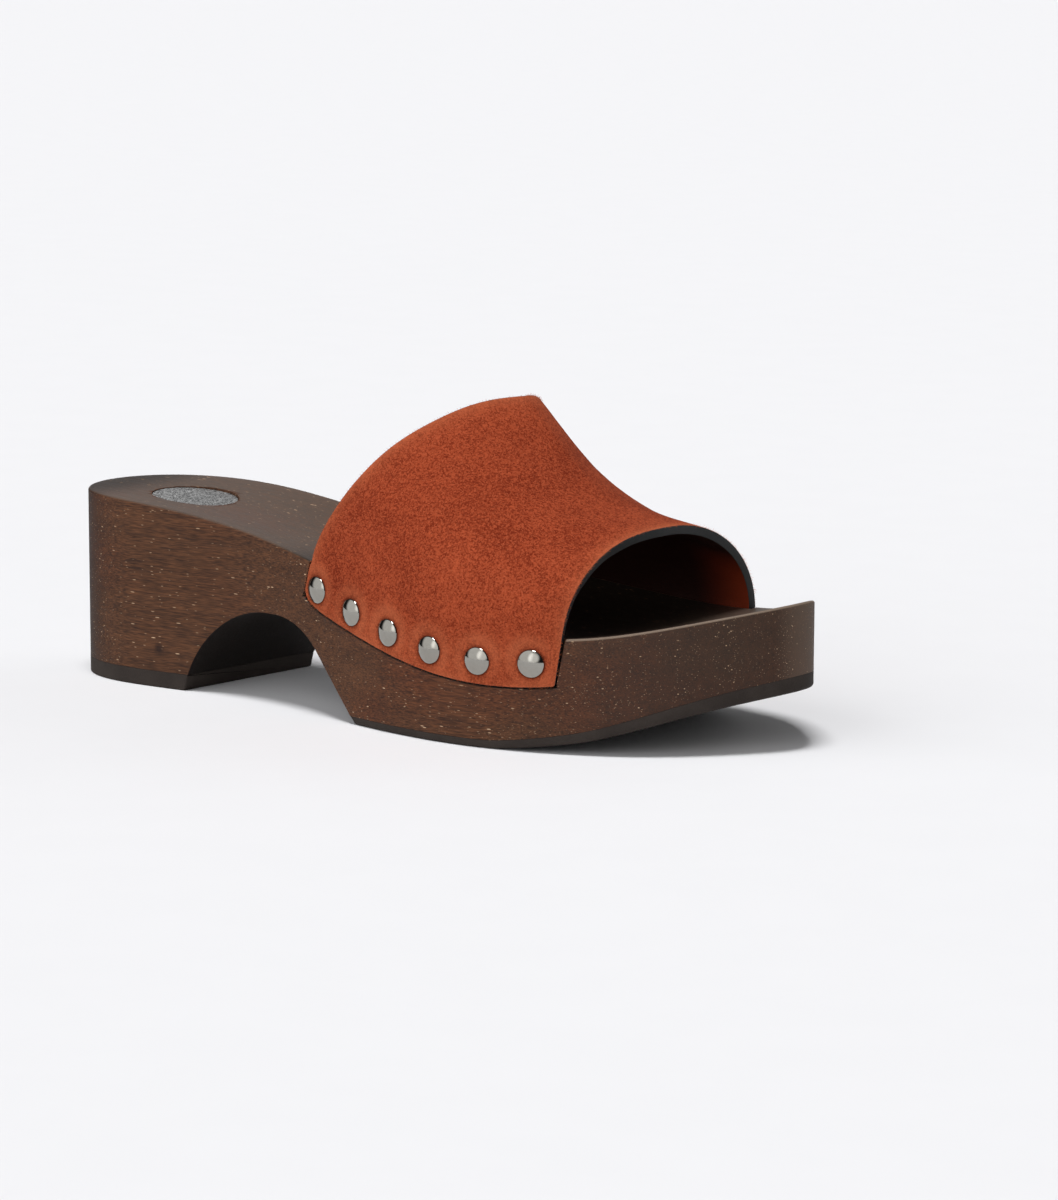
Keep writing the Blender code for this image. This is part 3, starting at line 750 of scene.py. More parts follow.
@dataclass(frozen=True)
class WoodFinish:
    """Dark open-grained wood under satin lacquer: the grain runs along the shoe, with pale pores."""

    dark: Colour = (0.026, 0.0102, 0.0050)
    light: Colour = (0.138, 0.0560, 0.0240)
    red: Colour = (0.60, 0.32, 0.22)
    # Painted shade with a grey painted sheen, laid over the toe.
    painted_toe_grey: Colour = (0.034, 0.0255, 0.0200)
    # Painted sheen on the footbed.
    painted_sheen: Colour = (0.118, 0.094, 0.076)
    # Painted shade, laid on the heel's back, on the footbed under the band, and on the underside with the
    # tunnel.
    shaded: Colour = (0.0035, 0.0030, 0.0026)
    # Pale wear with a painted highlight along the rim, and a painted highlight on the toe's tip.
    pale_wear_and_highlight: Colour = (0.230, 0.170, 0.125)
    pore: Colour = (0.66, 0.44, 0.27)
    knot: Colour = (0.016, 0.006, 0.004)
    gleam: float = 0.24
    grain_turn: float = math.radians(2.0)
    # Share of the painted sheen on the footbed.
    painted_sheen_share: float = 0.50
    # Share of the painted shade on the footbed under the band.
    inside_shade_share: float = 0.82
    # Share of the painted shade on the underside and in the tunnel.
    under_share: float = 0.94
    knot_share: float = 0.85
    knot_x: float = 0.0418
    knot_z: float = 0.0119
    pore_depth: float = 0.00004
    grain_depth: float = 0.00002
    # Painted shade with a grey painted sheen on the toe.
    toe_painted_shade: Fade = Fade(0.050, 0.105, 0.62)
    # Painted shade on the heel's back.
    heel_shade: Fade = Fade(-0.102, -0.119, 0.74)
    # Where the painted shade on the footbed under the band begins and ends.
    inside_shade_from: Fade = Fade(-0.040, -0.015)
    inside_shade_to: Fade = Fade(0.095, 0.068)
    # Pale wear with a painted highlight along the rim, and a painted highlight on the toe's tip.
    rim_wear_and_highlight: Fade = Fade(0.035, 0.060, 0.75)
    toe_painted_highlight: Fade = Fade(0.1205, 0.1256, 0.30)
    toe_dots: Fade = Fade(0.010, 0.050, 0.30)
    heel_dots: Fade = Fade(-0.090, -0.110, 0.32)
    long_pores: Pores = Pores(760.0, 0.135, 0.62, 0.17)
    short_pores: Pores = Pores(1500.0, 0.18, 0.55, 0.20)
    cut_pores: Pores = Pores(1600.0, 0.20, 0.38, 0.55)

    def make(self) -> bpy.types.Material:
        """Builds the material."""
        sheet = NodeSheet("lacquered_wood")
        sheet.constants(Specular_IOR_Level=self.gleam, IOR=1.45)
        streaks = sheet.noise(1900.0, 3.0, 0.6, sheet.stretched((0.030, 1.0, 1.0), self.grain_turn))
        seat, pores = sheet.attribute("seat"), self._all_pores(sheet)
        colour = self._shades(sheet, self._grain(sheet, streaks), seat)
        colour = sheet.mix(pores, colour, self.pore)
        colour = sheet.mix(sheet.times(self._knot(sheet), self.knot_share), colour, self.knot)
        # Pale wear with a painted highlight along the rim, and a painted highlight on the toe's tip.
        edge = sheet.times(sheet.attribute("worn_lit_rim"), self.rim_wear_and_highlight.lay(sheet))
        edge = sheet.math("MAXIMUM", edge, self.toe_painted_highlight.lay(sheet))
        colour = sheet.mix(edge, colour, self.pale_wear_and_highlight)
        # Painted shade on the underside and in the tunnel.
        colour = sheet.mix(sheet.times(sheet.attribute("under"), self.under_share), colour, self.shaded)
        sheet.feed("Base Color", colour)
        duller = sheet.times(sheet.math("SUBTRACT", seat, 1.0), -0.28)
        sheet.feed("Roughness", sheet.plus(sheet.ramp(streaks, 0.3, 0.7, 0.32, 0.42), duller))
        sheet.bump(sheet.times(pores, -1.0), self.pore_depth)
        sheet.bump(streaks, self.grain_depth)
        return sheet.material

    def _grain(self, sheet: NodeSheet, streaks: Socket) -> Socket:
        """The bare wood's colour.

        Args:
            sheet: The material's nodes.
            streaks: The pattern of its streaks.
        Returns:
            The colour's socket.
        """
        figure = sheet.noise(300.0, 2.0, 0.5, sheet.stretched((0.030, 1.0, 1.0), self.grain_turn))
        hairs = sheet.noise(4600.0, 1.0, 0.5, sheet.stretched((0.05, 1.0, 1.0), self.grain_turn))
        patches = sheet.noise(24.0, 2.0, 0.5, sheet.stretched((0.6, 1.0, 1.0)))
        tone = sheet.plus(sheet.times(figure, 0.16), sheet.times(streaks, 0.34))
        tone = sheet.plus(tone, sheet.times(hairs, 0.50))
        colour = sheet.mix(sheet.ramp(tone, 0.32, 0.70), self.dark, self.light)
        return sheet.mix(sheet.ramp(patches, 0.45, 0.70, 0.0, 0.50), colour, self.red, "SOFT_LIGHT")

    def _shades(self, sheet: NodeSheet, colour: Socket, seat: Socket) -> Socket:
        """Paints shade with a grey sheen on the toe, a sheen on the footbed, and shade on the heel's back and
        on the footbed under the band.

        Args:
            sheet: The material's nodes.
            colour: The bare wood's colour.
            seat: 1 on the footbed.
        Returns:
            The colour's socket.
        """
        # Painted shade with a grey painted sheen on the toe.
        colour = sheet.mix(self.toe_painted_shade.lay(sheet), colour, self.painted_toe_grey)
        # Painted sheen on the footbed.
        colour = sheet.mix(sheet.times(seat, self.painted_sheen_share), colour, self.painted_sheen)
        # Painted shade on the heel's back.
        colour = sheet.mix(self.heel_shade.lay(sheet), colour, self.shaded)
        # Painted shade on the footbed under the band.
        inside = sheet.times(seat, sheet.times(self.inside_shade_from.lay(sheet), self.inside_shade_to.lay(sheet)))
        return sheet.mix(sheet.times(inside, self.inside_shade_share), colour, self.shaded)

    def _all_pores(self, sheet: NodeSheet) -> Socket:
        """Long pores, short pores, and the pores cut across that show as dots at both ends.

        Args:
            sheet: The material's nodes.
        Returns:
            How much of the pores' colour shows.
        """
        large = sheet.times(self.long_pores.lay(sheet, self.grain_turn), 0.95)
        small = sheet.times(self.short_pores.lay(sheet, self.grain_turn), 0.52)
        ends = sheet.math("MAXIMUM", self.toe_dots.lay(sheet), self.heel_dots.lay(sheet))
        dots = sheet.times(self.cut_pores.lay(sheet, self.grain_turn), ends)
        return sheet.math("MAXIMUM", sheet.math("MAXIMUM", large, small), dots)

    def _knot(self, sheet: NodeSheet) -> Socket:
        """One pin knot low on the lateral side of the heel.

        Args:
            sheet: The material's nodes.
        Returns:
            1 in the knot and 0 outside it.
        """
        far = sheet.add("ShaderNodeVectorMath", operation="DISTANCE")
        sheet.link(sheet.place, far.inputs[0])
        spot = np.array([self.knot_x, float(LAST.wall(self.knot_x, -1)), self.knot_z])
        far.inputs[1].default_value = tuple(spot + LAST.shift)
        wobble = sheet.times(sheet.noise(900.0, 2.0), 0.0012)
        return sheet.ramp(sheet.plus(far.outputs["Value"], wobble), 0.0033, 0.0010)


@dataclass(frozen=True)
class SuedeFinish:
    """Rust suede with a short nap: speckled, paler along its edges and around the nails, with a painted
    shadow round each nail head.
    """

    deep: Colour = (0.135, 0.0140, 0.0045)
    bright: Colour = (0.430, 0.0800, 0.0300)
    pale: Colour = (0.540, 0.1500, 0.0650)
    # Painted shadow round each nail head.
    nail_shadow: Colour = (0.075, 0.012, 0.006)
    sheen: Colour = (1.0, 0.55, 0.34)
    tip_share: float = 0.38
    worn_share: float = 0.55
    # How strongly the painted shadow round each nail head is laid.
    nail_shadow_share: float = 0.75
    nap_depth: float = 0.00016

    def make(self) -> bpy.types.Material:
        """Builds the material."""
        sheet = NodeSheet("suede_nap")
        sheet.constants(Roughness=0.95, Sheen_Weight=0.06, Sheen_Roughness=0.4)
        sheet.constants(Sheen_Tint=(*self.sheen, 1.0), Specular_IOR_Level=0.05)
        fine = sheet.noise(1900.0, 4.0, 0.8)
        brushed = sheet.noise(750.0, 3.0, 0.6, sheet.stretched((1.0, 1.0, 0.7), math.radians(25.0)))
        _, tufts = sheet.cells(2500.0)
        drift = sheet.noise(60.0, 3.0, 0.55)
        broad = sheet.noise(20.0, 2.0, 0.5)
        tone = sheet.plus(sheet.times(fine, 0.52), sheet.times(brushed, 0.18))
        tone = sheet.plus(tone, sheet.times(tufts[0], 0.30))
        tone = sheet.plus(tone, sheet.times(sheet.math("SUBTRACT", drift, 0.5), 0.22))
        tone = sheet.plus(tone, sheet.times(sheet.math("SUBTRACT", broad, 0.5), 0.25))
        colour = sheet.mix(sheet.ramp(tone, 0.24, 0.78), self.deep, self.bright)
        tips = sheet.ramp(sheet.noise(3000.0, 1.0), 0.58, 0.74, 0.0, self.tip_share)
        colour = sheet.mix(tips, colour, self.pale)
        worn = sheet.times(sheet.attribute("worn"), sheet.ramp(drift, 0.25, 0.65, 0.45, 1.0))
        colour = sheet.mix(sheet.times(worn, self.worn_share), colour, self.pale)
        # Painted shadow round each nail head.
        nail_shade = sheet.times(sheet.attribute("nail_shade"), self.nail_shadow_share)
        sheet.feed("Base Color", sheet.mix(nail_shade, colour, self.nail_shadow))
        sheet.bump(tufts[0], self.nap_depth * 0.6, 0.8)
        sheet.bump(fine, self.nap_depth)
        return sheet.material


@dataclass(frozen=True)
class PlainFinish:
    """A finish of one colour that varies softly towards another, with a fine grain."""

    name: str
    colour: Colour
    other: Colour
    roughness: float
    grain: float
    grain_depth: float
    gleam: float = 0.5
    metallic: float = 0.0
    speckle: float = 0.35
    unevenness: float = 0.12

    def make(self) -> bpy.types.Material:
        """Builds the material."""
        sheet = NodeSheet(self.name)
        sheet.constants(Metallic=self.metallic, Specular_IOR_Level=self.gleam)
        fine = sheet.noise(self.grain, 4.0, 0.65)
        drift = sheet.noise(self.grain / 22, 2.0)
        tone = sheet.plus(sheet.times(fine, self.speckle), sheet.times(drift, 1 - self.speckle))
        sheet.feed("Base Color", sheet.mix(sheet.ramp(tone, 0.32, 0.68), self.colour, self.other))
        smoother = self.roughness * (1 - self.unevenness)
        rougher = min(1.0, self.roughness * (1 + self.unevenness))
        sheet.feed("Roughness", sheet.ramp(drift, 0.3, 0.7, smoother, rougher))
        sheet.bump(fine, self.grain_depth)
        return sheet.material


@dataclass(frozen=True)
class LiningFinish:
    """Red leather lining, with painted light: nearly black in painted shade deep inside, and red in a painted
    pool of light at the front on the medial side.
    """

    # Painted shade deep inside the band.
    deep: Colour = (0.0240, 0.0060, 0.0034)
    # The lining's red, shown only in a painted pool of light.
    bright: Colour = (0.210, 0.0280, 0.0080)
    grain_depth: float = 0.00005

    def make(self) -> bpy.types.Material:
        """Builds the material."""
        sheet = NodeSheet("lining_leather")
        sheet.constants(Roughness=0.7, Specular_IOR_Level=0.12)
        # A painted pool of light at the front on the medial side shows the lining's red; elsewhere it lies in
        # painted shade.
        front = sheet.ramp(sheet.axis("X"), 0.064, 0.086)
        medial = sheet.ramp(sheet.axis("Y"), 0.029, 0.040)
        sheet.feed("Base Color", sheet.mix(sheet.times(front, medial), self.deep, self.bright))
        sheet.bump(sheet.noise(1500.0, 4.0, 0.65), self.grain_depth)
        return sheet.material


@dataclass(frozen=True)
class GlitterFinish:
    """Speckled silver: tiny facets that each catch the light in their own way."""

    dark: Colour = (0.13, 0.13, 0.13)
    bright: Colour = (0.64, 0.64, 0.63)
    facet_depth: float = 0.00006

    def make(self) -> bpy.types.Material:
        """Builds the material."""
        sheet = NodeSheet("speckled_silver")
        sheet.constants(Metallic=0.85)
        _, facets = sheet.cells(2600.0)
        sheet.feed("Base Color", sheet.mix(sheet.ramp(facets[0], 0.1, 0.95), self.dark, self.bright))
        sheet.feed("Roughness", sheet.ramp(facets[1], 0.0, 1.0, 0.30, 0.62))
        sheet.bump(facets[2], self.facet_depth)
        return sheet.material


@dataclass(frozen=True)
class Columns:
    """Where upright lines run around the sole: each has a point on the axis and one on the wall."""

    axis: np.ndarray
    wall: np.ndarray
    normal: np.ndarray


@dataclass
class SoleForm:
    """Makes solids that share the sole's outline, with lines laid along the tunnel. The shares say how much
    of an edge's rounding counts as footbed, as underside, and as the rim's line of wear and painted
    highlight.
    """

    heel_fan_x: float = 0.027
    toe_fan_x: float = 0.214
    row_step: float = 0.0018
    fan_rays: int = 56
    tunnel_margin: float = 0.004
    toe_margin: float = 0.01
    seam_step: float = 0.0002
    top_rings: int = 15
    top_steps: int = 6
    low_steps: int = 4
    bottom_rings: int = 12
    seat_share: float = 0.3
    under_share: float = 0.5
    # Where the rim's line of wear and painted highlight lies, as shares of its rounding.
    worn_lit_shares: tuple[float, float] = (0.05, 0.8)

    def _slant(self, line: np.ndarray) -> np.ndarray:
        """How far each row leans in plan: fully along the tunnel, and not at all at the tips.

        Args:
            line: Places of the rows along the axis.
        Returns:
            X for each metre across.
        """
        rise = smooth_step(line, self.heel_fan_x, LAST.tunnel.breast_x - self.tunnel_margin)
        start = LAST.tunnel.ramp_foot + self.tunnel_margin
        fall = 1 - smooth_step(line, start, self.toe_fan_x - self.toe_margin)
        return np.tan(LAST.tunnel.turn) * rise * fall

    def _lines(self) -> np.ndarray:
        """Places of the rows along the axis, with extra ones at the tunnel's corners and along its arcs."""
        tunnel = LAST.tunnel
        heel = tunnel.rear_at(LAST.heel_lift + LAST.seam)
        fore = tunnel.ramp_at(float(LAST.tread_top(tunnel.ramp_foot)) + LAST.seam)
        arc = np.arccos(np.clip((tunnel.rear_x - heel) / tunnel.rear_radius, -1, 1))
        rear = tunnel.rear_x - tunnel.rear_radius * np.cos(np.linspace(arc, math.pi / 2, 30))
        bow = np.linspace(math.pi / 2, math.pi / 2 - tunnel.ramp, 16)
        front = tunnel.front_x + tunnel.front_radius * np.cos(bow)
        parts = [
            np.linspace(self.heel_fan_x, heel, int((heel - self.heel_fan_x) / self.row_step)),
            rear,
            front,
            np.linspace(tunnel.ramp_top[0], fore, 14),
            np.linspace(fore, self.toe_fan_x, int((self.toe_fan_x - fore) / self.row_step)),
            [heel - self.seam_step, heel + self.seam_step, fore - self.seam_step, fore + self.seam_step],
        ]
        return np.unique(np.round(np.concatenate(parts), 6))

    def _meet(self, line: np.ndarray, slant: np.ndarray, side: float) -> np.ndarray:
        """Where the slanted rows meet a side wall or the centre line.

        Args:
            line: Places of the rows along the axis.
            slant: How far each leans in plan.
            side: -1 lateral, 0 for the centre line or 1 medial.
        Returns:
            Points in plan.
        """
        x = line.copy()
        for _ in range(30):
            x = line + LAST.wall(x, side) * slant
        return np.stack([x, LAST.wall(x, side)], -1)

    def _fan(self, x: float, first: float, last: float) -> tuple[np.ndarray, np.ndarray]:
        """Rays from one point of the axis to the outline.

        Args:
            x: The point's place.
            first: Angle of the ray before the first.
            last: Angle of the ray after the last.
        Returns:
            The axis points and the wall points.
        """
        turn = np.linspace(first, last, self.fan_rays + 2)[1:-1]
        heading = np.stack([np.cos(turn), np.sin(turn)], -1)
        start = np.array([x, float(LAST.centre(x))])
        near, far = np.zeros(len(turn)), np.full(len(turn), LAST.length)
        for _ in range(45):
            middle = (near + far) / 2
            point = start + heading * middle[:, None]
            inside = np.abs(point[:, 1] - LAST.centre(point[:, 0])) < LAST.half(point[:, 0])
            inside &= (point[:, 0] > 0) & (point[:, 0] < LAST.length)
            near, far = np.where(inside, middle, near), np.where(inside, far, middle)
        return np.repeat(start[None], len(turn), 0), start + heading * near[:, None]

    @cached_property
    def columns(self) -> Columns:
        """All columns, once around the sole."""
        lines = self._lines()
        slant = self._slant(lines)
        middle = self._meet(lines, slant, 0.0)
        lateral, medial = self._meet(lines, slant, -1.0), self._meet(lines, slant, 1.0)
        toe_axis, toe_wall = self._fan(self.toe_fan_x, -math.pi / 2, math.pi / 2)
        heel_axis, heel_wall = self._fan(self.heel_fan_x, math.pi / 2, 3 * math.pi / 2)
        axis = np.concatenate([middle, toe_axis, middle[::-1], heel_axis])
        wall = np.concatenate([lateral, toe_wall, medial[::-1], heel_wall])
        tangent = np.roll(wall, -1, 0) - np.roll(wall, 1, 0)
        normal = np.stack([tangent[:, 1], -tangent[:, 0]], -1)
        normal /= np.linalg.norm(normal, axis=1, keepdims=True)
        return Columns(axis, wall, normal)

    def solid(
        self, top: HeightField, bottom: HeightField, top_radius: float, low_radius: float, wall_rows: int
    ) -> bmesh.types.BMesh:
        """A closed solid between two height fields, with rounded upper and lower edges.

        Args:
            top: Heights of the upper face.
            bottom: Heights of the underside.
            top_radius: Rounding of the upper edge.
            low_radius: Rounding of the lower edge.
            wall_rows: Steps down the side wall.
        Returns:
            The bmesh, with its faces pointing outwards.
        """
        c = self.columns
        rows = []
        marks = {"seat": [], "under": [], "worn_lit_rim": []}
        # Bounds of the rim's line of wear and painted highlight, as shares of its rounding.
        worn_lit_from, worn_lit_to = self.worn_lit_shares

        def level(heights: HeightField, radius: float, out: float, inset: float, drop: float) -> None:
            """Adds a row with its marks.

            Args:
                heights: The face that it belongs to.
                radius: Rounding of that face's edge.
                out: Share of the way from the axis to the edge.
                inset: Distance in from the wall, which counts where it is less than the rounding.
                drop: How far the row lies above the face's height, below it where negative.
            """
            edge = c.wall - c.normal * radius
            place = c.wall - c.normal * inset if inset < radius else c.axis + (edge - c.axis) * out
            height = heights(place[:, 0], place[:, 1], np.full(len(place), out))
            rows.append(np.column_stack([place, height + drop]))
            upper_face = heights is top
            flags = {
                "seat": upper_face and drop > -self.seat_share * radius,
                "under": not upper_face and drop < self.under_share * radius,
                "worn_lit_rim": upper_face and -worn_lit_to * radius < drop < -worn_lit_from * radius,
            }
            for name, flag in flags.items():
                marks[name].append(np.full(len(place), float(flag)))

        for out in np.linspace(0, 1, self.top_rings):
            level(top, top_radius, float(out), top_radius, 0.0)
        for turn in np.linspace(0, math.pi / 2, self.top_steps)[1:]:
            inset = top_radius * (1 - math.sin(turn))
            level(top, top_radius, 1.0, inset, -top_radius * (1 - math.cos(turn)))
        count = len(rows)
        for turn in np.linspace(math.pi / 2, 0, self.low_steps):
            inset = low_radius * (1 - math.sin(turn))
            level(bottom, low_radius, 1.0, inset, low_radius * (1 - math.cos(turn)))
        for out in np.linspace(1, 0, self.bottom_rings)[1:]:
            level(bottom, low_radius, float(out), low_radius, 0.0)
        upper, lower = rows[count - 1], rows[count]
        shares = np.linspace(0, 1, wall_rows + 1)[1:-1]
        ordered = rows[:count] + [upper + (lower - upper) * share for share in shares] + rows[count:]
        blank = [np.zeros(len(upper))] * len(shares)
        marks = {name: np.array(values[:count] + blank + values[count:]) for name, values in marks.items()}
        work = surface(np.array(ordered), closed=True, marks=marks)
        bmesh.ops.recalc_face_normals(work, faces=work.faces)
        return work


def trim(work: bmesh.types.BMesh, point: Vector, normal: Vector, radius: float) -> None:
    """Cuts a solid at a plane, closes it and rounds the new edge.

    Args:
        work: The solid; what lies in front of the plane goes.
        point: A point of the plane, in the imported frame.
        normal: The plane's normal.
        radius: The new edge's rounding.
    """
    geometry = work.verts[:] + work.edges[:] + work.faces[:]
    cut = bmesh.ops.bisect_plane(
        work, geom=geometry, dist=1e-7, plane_co=point, plane_no=normal, clear_outer=True
    )
    rim = [item for item in cut["geom_cut"] if isinstance(item, bmesh.types.BMEdge)]
    bmesh.ops.holes_fill(work, edges=rim, sides=0)
    bmesh.ops.recalc_face_normals(work, faces=work.faces)
    round_edges(work, [edge for edge in rim if edge.is_valid], radius)


@dataclass(frozen=True)
class Relief:
    """The low relief of the band: heights and widths, and how strongly the suede is marked."""

    dimple_depth: float = 0.00042
    dimple_radius: float = 0.0050
    ring_height: float = 0.00016
    ring_radius: float = 0.0068
    ring_width: float = 0.0020
    halo: float = 0.75
    halo_radius: float = 0.0062
    halo_width: float = 0.0022
    # Painted shadow round each nail head: its strength, and the radii over which it fades.
    nail_shadow: float = 0.8
    nail_shadow_radii: tuple[float, float] = (0.0040, 0.0049)
    edge_wear: float = 0.0022
    crown_reach: float = 0.012
    crown_from_z: float = 0.07
    swell: float = 0.00038
    swells_per_metre: float = 38.0
    ripple: float = 0.00007
    ripples_per_metre: float = 170.0
    calm_edge: float = 0.006
    calm_share: float = 0.08
    tab_limits: tuple[float, float] = (-0.0006, 0.00022)
    tab_margin: float = 0.001
    fold_wander: float = 0.0012
    fold_fade: tuple[float, float] = (0.006, 0.008)
    fold_lip: float = 0.45
    fold_lip_place: float = 1.7


@dataclass
class Band:
    """The leather band: its outer face as a function of where a point lies along and across the leather."""

    leather: float = 0.0030
    lateral_rear_x: float = 0.1045
    lateral_front_x: float = 0.1978
    medial_rear_x: float = 0.1165
    medial_front_x: float = 0.2105
    lateral_tab: float = 0.0163
    medial_tab: float = 0.0145
    lateral_rear_lean: float = -0.0032
    lateral_front_lean: float = -0.0020
    medial_rear_lean: float = -0.0080
    medial_front_lean: float = -0.0003
    corner_rise: float = 0.0022
    corner_share: float = 0.035
    collar: Vector = field(default_factory=lambda: Vector((0.1555, 0.0040, 0.0945)))
    throat: Vector = field(default_factory=lambda: Vector((0.2079, -0.0029, 0.0611)))
    nail_count: int = 6
    lateral_nail_rear_rise: float = 0.0056
    lateral_nail_front_rise: float = 0.0069
    medial_nail_rise: float = 0.0053
    nail_margin: float = 0.0072
    sections: int = 150
    tab_rows: int = 15
    arch_rows: int = 82
    rear_corner_radius: float = 0.0036
    front_corner_radius: float = 0.0007
    tab_crowding: float = 1.25
    edge_crowding: float = 0.10
    ease_rows: int = 8
    form: Relief = Relief()

    @cached_property
    def _curves(self) -> list[Curve]:
        """The cubic of each column of the band's table."""
        return [Curve(column(BAND, 0), column(BAND, index)) for index in range(1, 9)]

    def ends(self, side: float) -> tuple[float, float, float, float]:
        """Where the band ends along the shoe.

        Args:
            side: -1 lateral or 1 medial.
        Returns:
            Its rear and front at the rim, and then at its lower edge.
        """
        if side < 0:
            rear, front = self.lateral_rear_x, self.lateral_front_x
            return rear, front, rear + self.lateral_rear_lean, front + self.lateral_front_lean
        rear, front = self.medial_rear_x, self.medial_front_x
        return rear, front, rear + self.medial_rear_lean, front + self.medial_front_lean

    def foot(self, section: np.ndarray, side: float) -> tuple[np.ndarray, np.ndarray]:
        """The lower edge.

        Args:
            section: 0 at the band's rear edge and 1 at its toe opening.
            side: -1 lateral or 1 medial.
        Returns:
            Its places along the shoe and its heights.
        """
        _, _, low_rear, low_front = self.ends(side)
        x = low_rear * (1 - section) + low_front * section
        depth = self.lateral_tab * self._curves[6](section)
        if side > 0:
            depth = self.medial_tab * self._curves[7](section)
        corner = self.corner_rise * np.exp(-section / self.corner_share)
        return x, LAST.rim(x, side) - depth + corner

    def _tab(self, section: np.ndarray, up: np.ndarray, side: float) -> np.ndarray:
        """The part of the band that is let into the sole's side.

        Args:
            section: Sections of the band.
            up: 0 at the lower edge and 1 at the rim.
            side: -1 lateral or 1 medial.
        Returns:
            Points of its outer face.
        """
        rear, front, _, _ = self.ends(side)
        low_x, low_z = self.foot(section, side)
        high_x = rear * (1 - section) + front * section
        x = low_x * (1 - up) + high_x * up
        z = low_z * (1 - up) + LAST.rim(high_x, side) * up
        return np.stack([x, LAST.wall(x, side), z], -1)

    def _arch(self, section: np.ndarray, rise: np.ndarray, side: float) -> np.ndarray:
        """Half of the arch over the foot.

        Args:
            section: Sections of the band.
            rise: 0 at the rim and 1 at the crown.
            side: -1 lateral or 1 medial.
        Returns:
            Points of its outer face.
        """
        rear, front, _, _ = self.ends(side)
        base_x = rear * (1 - section) + front * section
        along, drop = self._curves[0](section), self._curves[1](section)
        crown_x = self.collar.x + (self.throat.x - self.collar.x) * along
        crown_y = self.collar.y + (self.throat.y - self.collar.y) * section
        crown_z = self.collar.z + (self.throat.z - self.collar.z) * drop
        fullness = self._curves[2 if side < 0 else 3](section)
        sweep = self._curves[4 if side < 0 else 5](section)
        turn = rise * math.pi / 2
        inwards = 1 - np.clip(np.cos(turn), 0, 1) ** (2 / fullness)
        x = base_x + (crown_x - base_x) * (sweep * rise + (1 - sweep) * np.sin(turn))
        base_y = LAST.wall(base_x, side)
        y = base_y + (crown_y - base_y) * inwards
        base_z = LAST.rim(base_x, side)
        return np.stack([x, y, base_z + (crown_z - base_z) * np.sin(turn) ** (2 / fullness)], -1)

    def _rounded(self, section: np.ndarray, up: np.ndarray, side: float) -> tuple[np.ndarray, np.ndarray]:
        """Draws a tab's grid in around its two lower corners, so that they are round.

        Args:
            section: Sections of the tab's points.
            up: Shares of the way up the tab.
            side: -1 lateral or 1 medial.
        Returns:
            The new sections and shares.
        """
        _, _, low_rear, low_front = self.ends(side)
        span, depth = low_front - low_rear, self.lateral_tab if side < 0 else self.medial_tab
        for radius, at_rear in ((self.rear_corner_radius, True), (self.front_corner_radius, False)):
            along = (section if at_rear else 1 - section) * span
            above = up * depth
            a, b = np.clip(radius - along, 0, None), np.clip(radius - above, 0, None)
            reach = np.hypot(a, b)
            pull = np.where(reach > 0, np.maximum(a, b) / np.maximum(reach, 1e-9), 1.0)
            inside = (a > 0) & (b > 0)
            along = np.where(inside, radius - a * pull, along)
            above = np.where(inside, radius - b * pull, above)
            section = along / span if at_rear else 1 - along / span
            up = above / depth
        return section, up

    @cached_property
    def grid(self) -> np.ndarray:
        """The outer face before any fold or dimple: sections by rows across the leather by 3."""
        even = np.linspace(0, 1, self.sections)
        section = (even - self.edge_crowding * np.sin(2 * math.pi * even))[:, None]
        up = np.linspace(0, 1, self.tab_rows + 1)[:-1] ** self.tab_crowding
        rise = np.linspace(0, 1, self.arch_rows)
        halves = []
        for side in (-1.0, 1.0):
            wide, high = np.broadcast_arrays(section, up[None])
            tab = self._tab(*self._rounded(wide, high, side), side)
            arch = self._arch(*np.broadcast_arrays(section, rise[None]), side)
            half = np.concatenate([tab, arch], 1)
            half[..., 0] = self._eased(half[..., 0])
            half[:, : self.tab_rows, 1] = LAST.wall(half[:, : self.tab_rows, 0], side)
            halves.append(half)
        return np.concatenate([halves[0], halves[1][:, -2::-1]], 1)

    def _eased(self, values: np.ndarray) -> np.ndarray:
        """Softens the bend where a tab runs into the arch.

        Args:
            values: X of the half's grid, each section's row running from the lower edge to the crown.
        Returns:
            The softened values.
        """
        reach, count = self.ease_rows, values.shape[1]
        weights = np.exp(-0.5 * (np.arange(-reach, reach + 1) / (reach / 2.2)) ** 2)
        weights /= weights.sum()
        ends = np.pad(values, ((0, 0), (reach, reach)), "reflect", reflect_type="odd")
        soft = sum(w * ends[:, k : k + count] for k, w in enumerate(weights))
        rows = np.arange(count) - self.tab_rows
        near = smooth_step(rows, -12, -4) * (1 - smooth_step(rows, 8, 20))
        return values + (soft - values) * near

    @staticmethod
    def normals(points: np.ndarray) -> np.ndarray:
        """Outward directions of a grid of points.

        Args:
            points: Sections by rows by 3.
        Returns:
            Unit vectors of the same shape.
        """
        along, across = np.gradient(points, axis=0), np.gradient(points, axis=1)
        normal = np.cross(across, along)
        normal /= np.maximum(np.linalg.norm(normal, axis=-1, keepdims=True), 1e-12)
        middle = points.shape[1] // 2
        return normal if normal[points.shape[0] // 2, middle, 2] > 0 else -normal

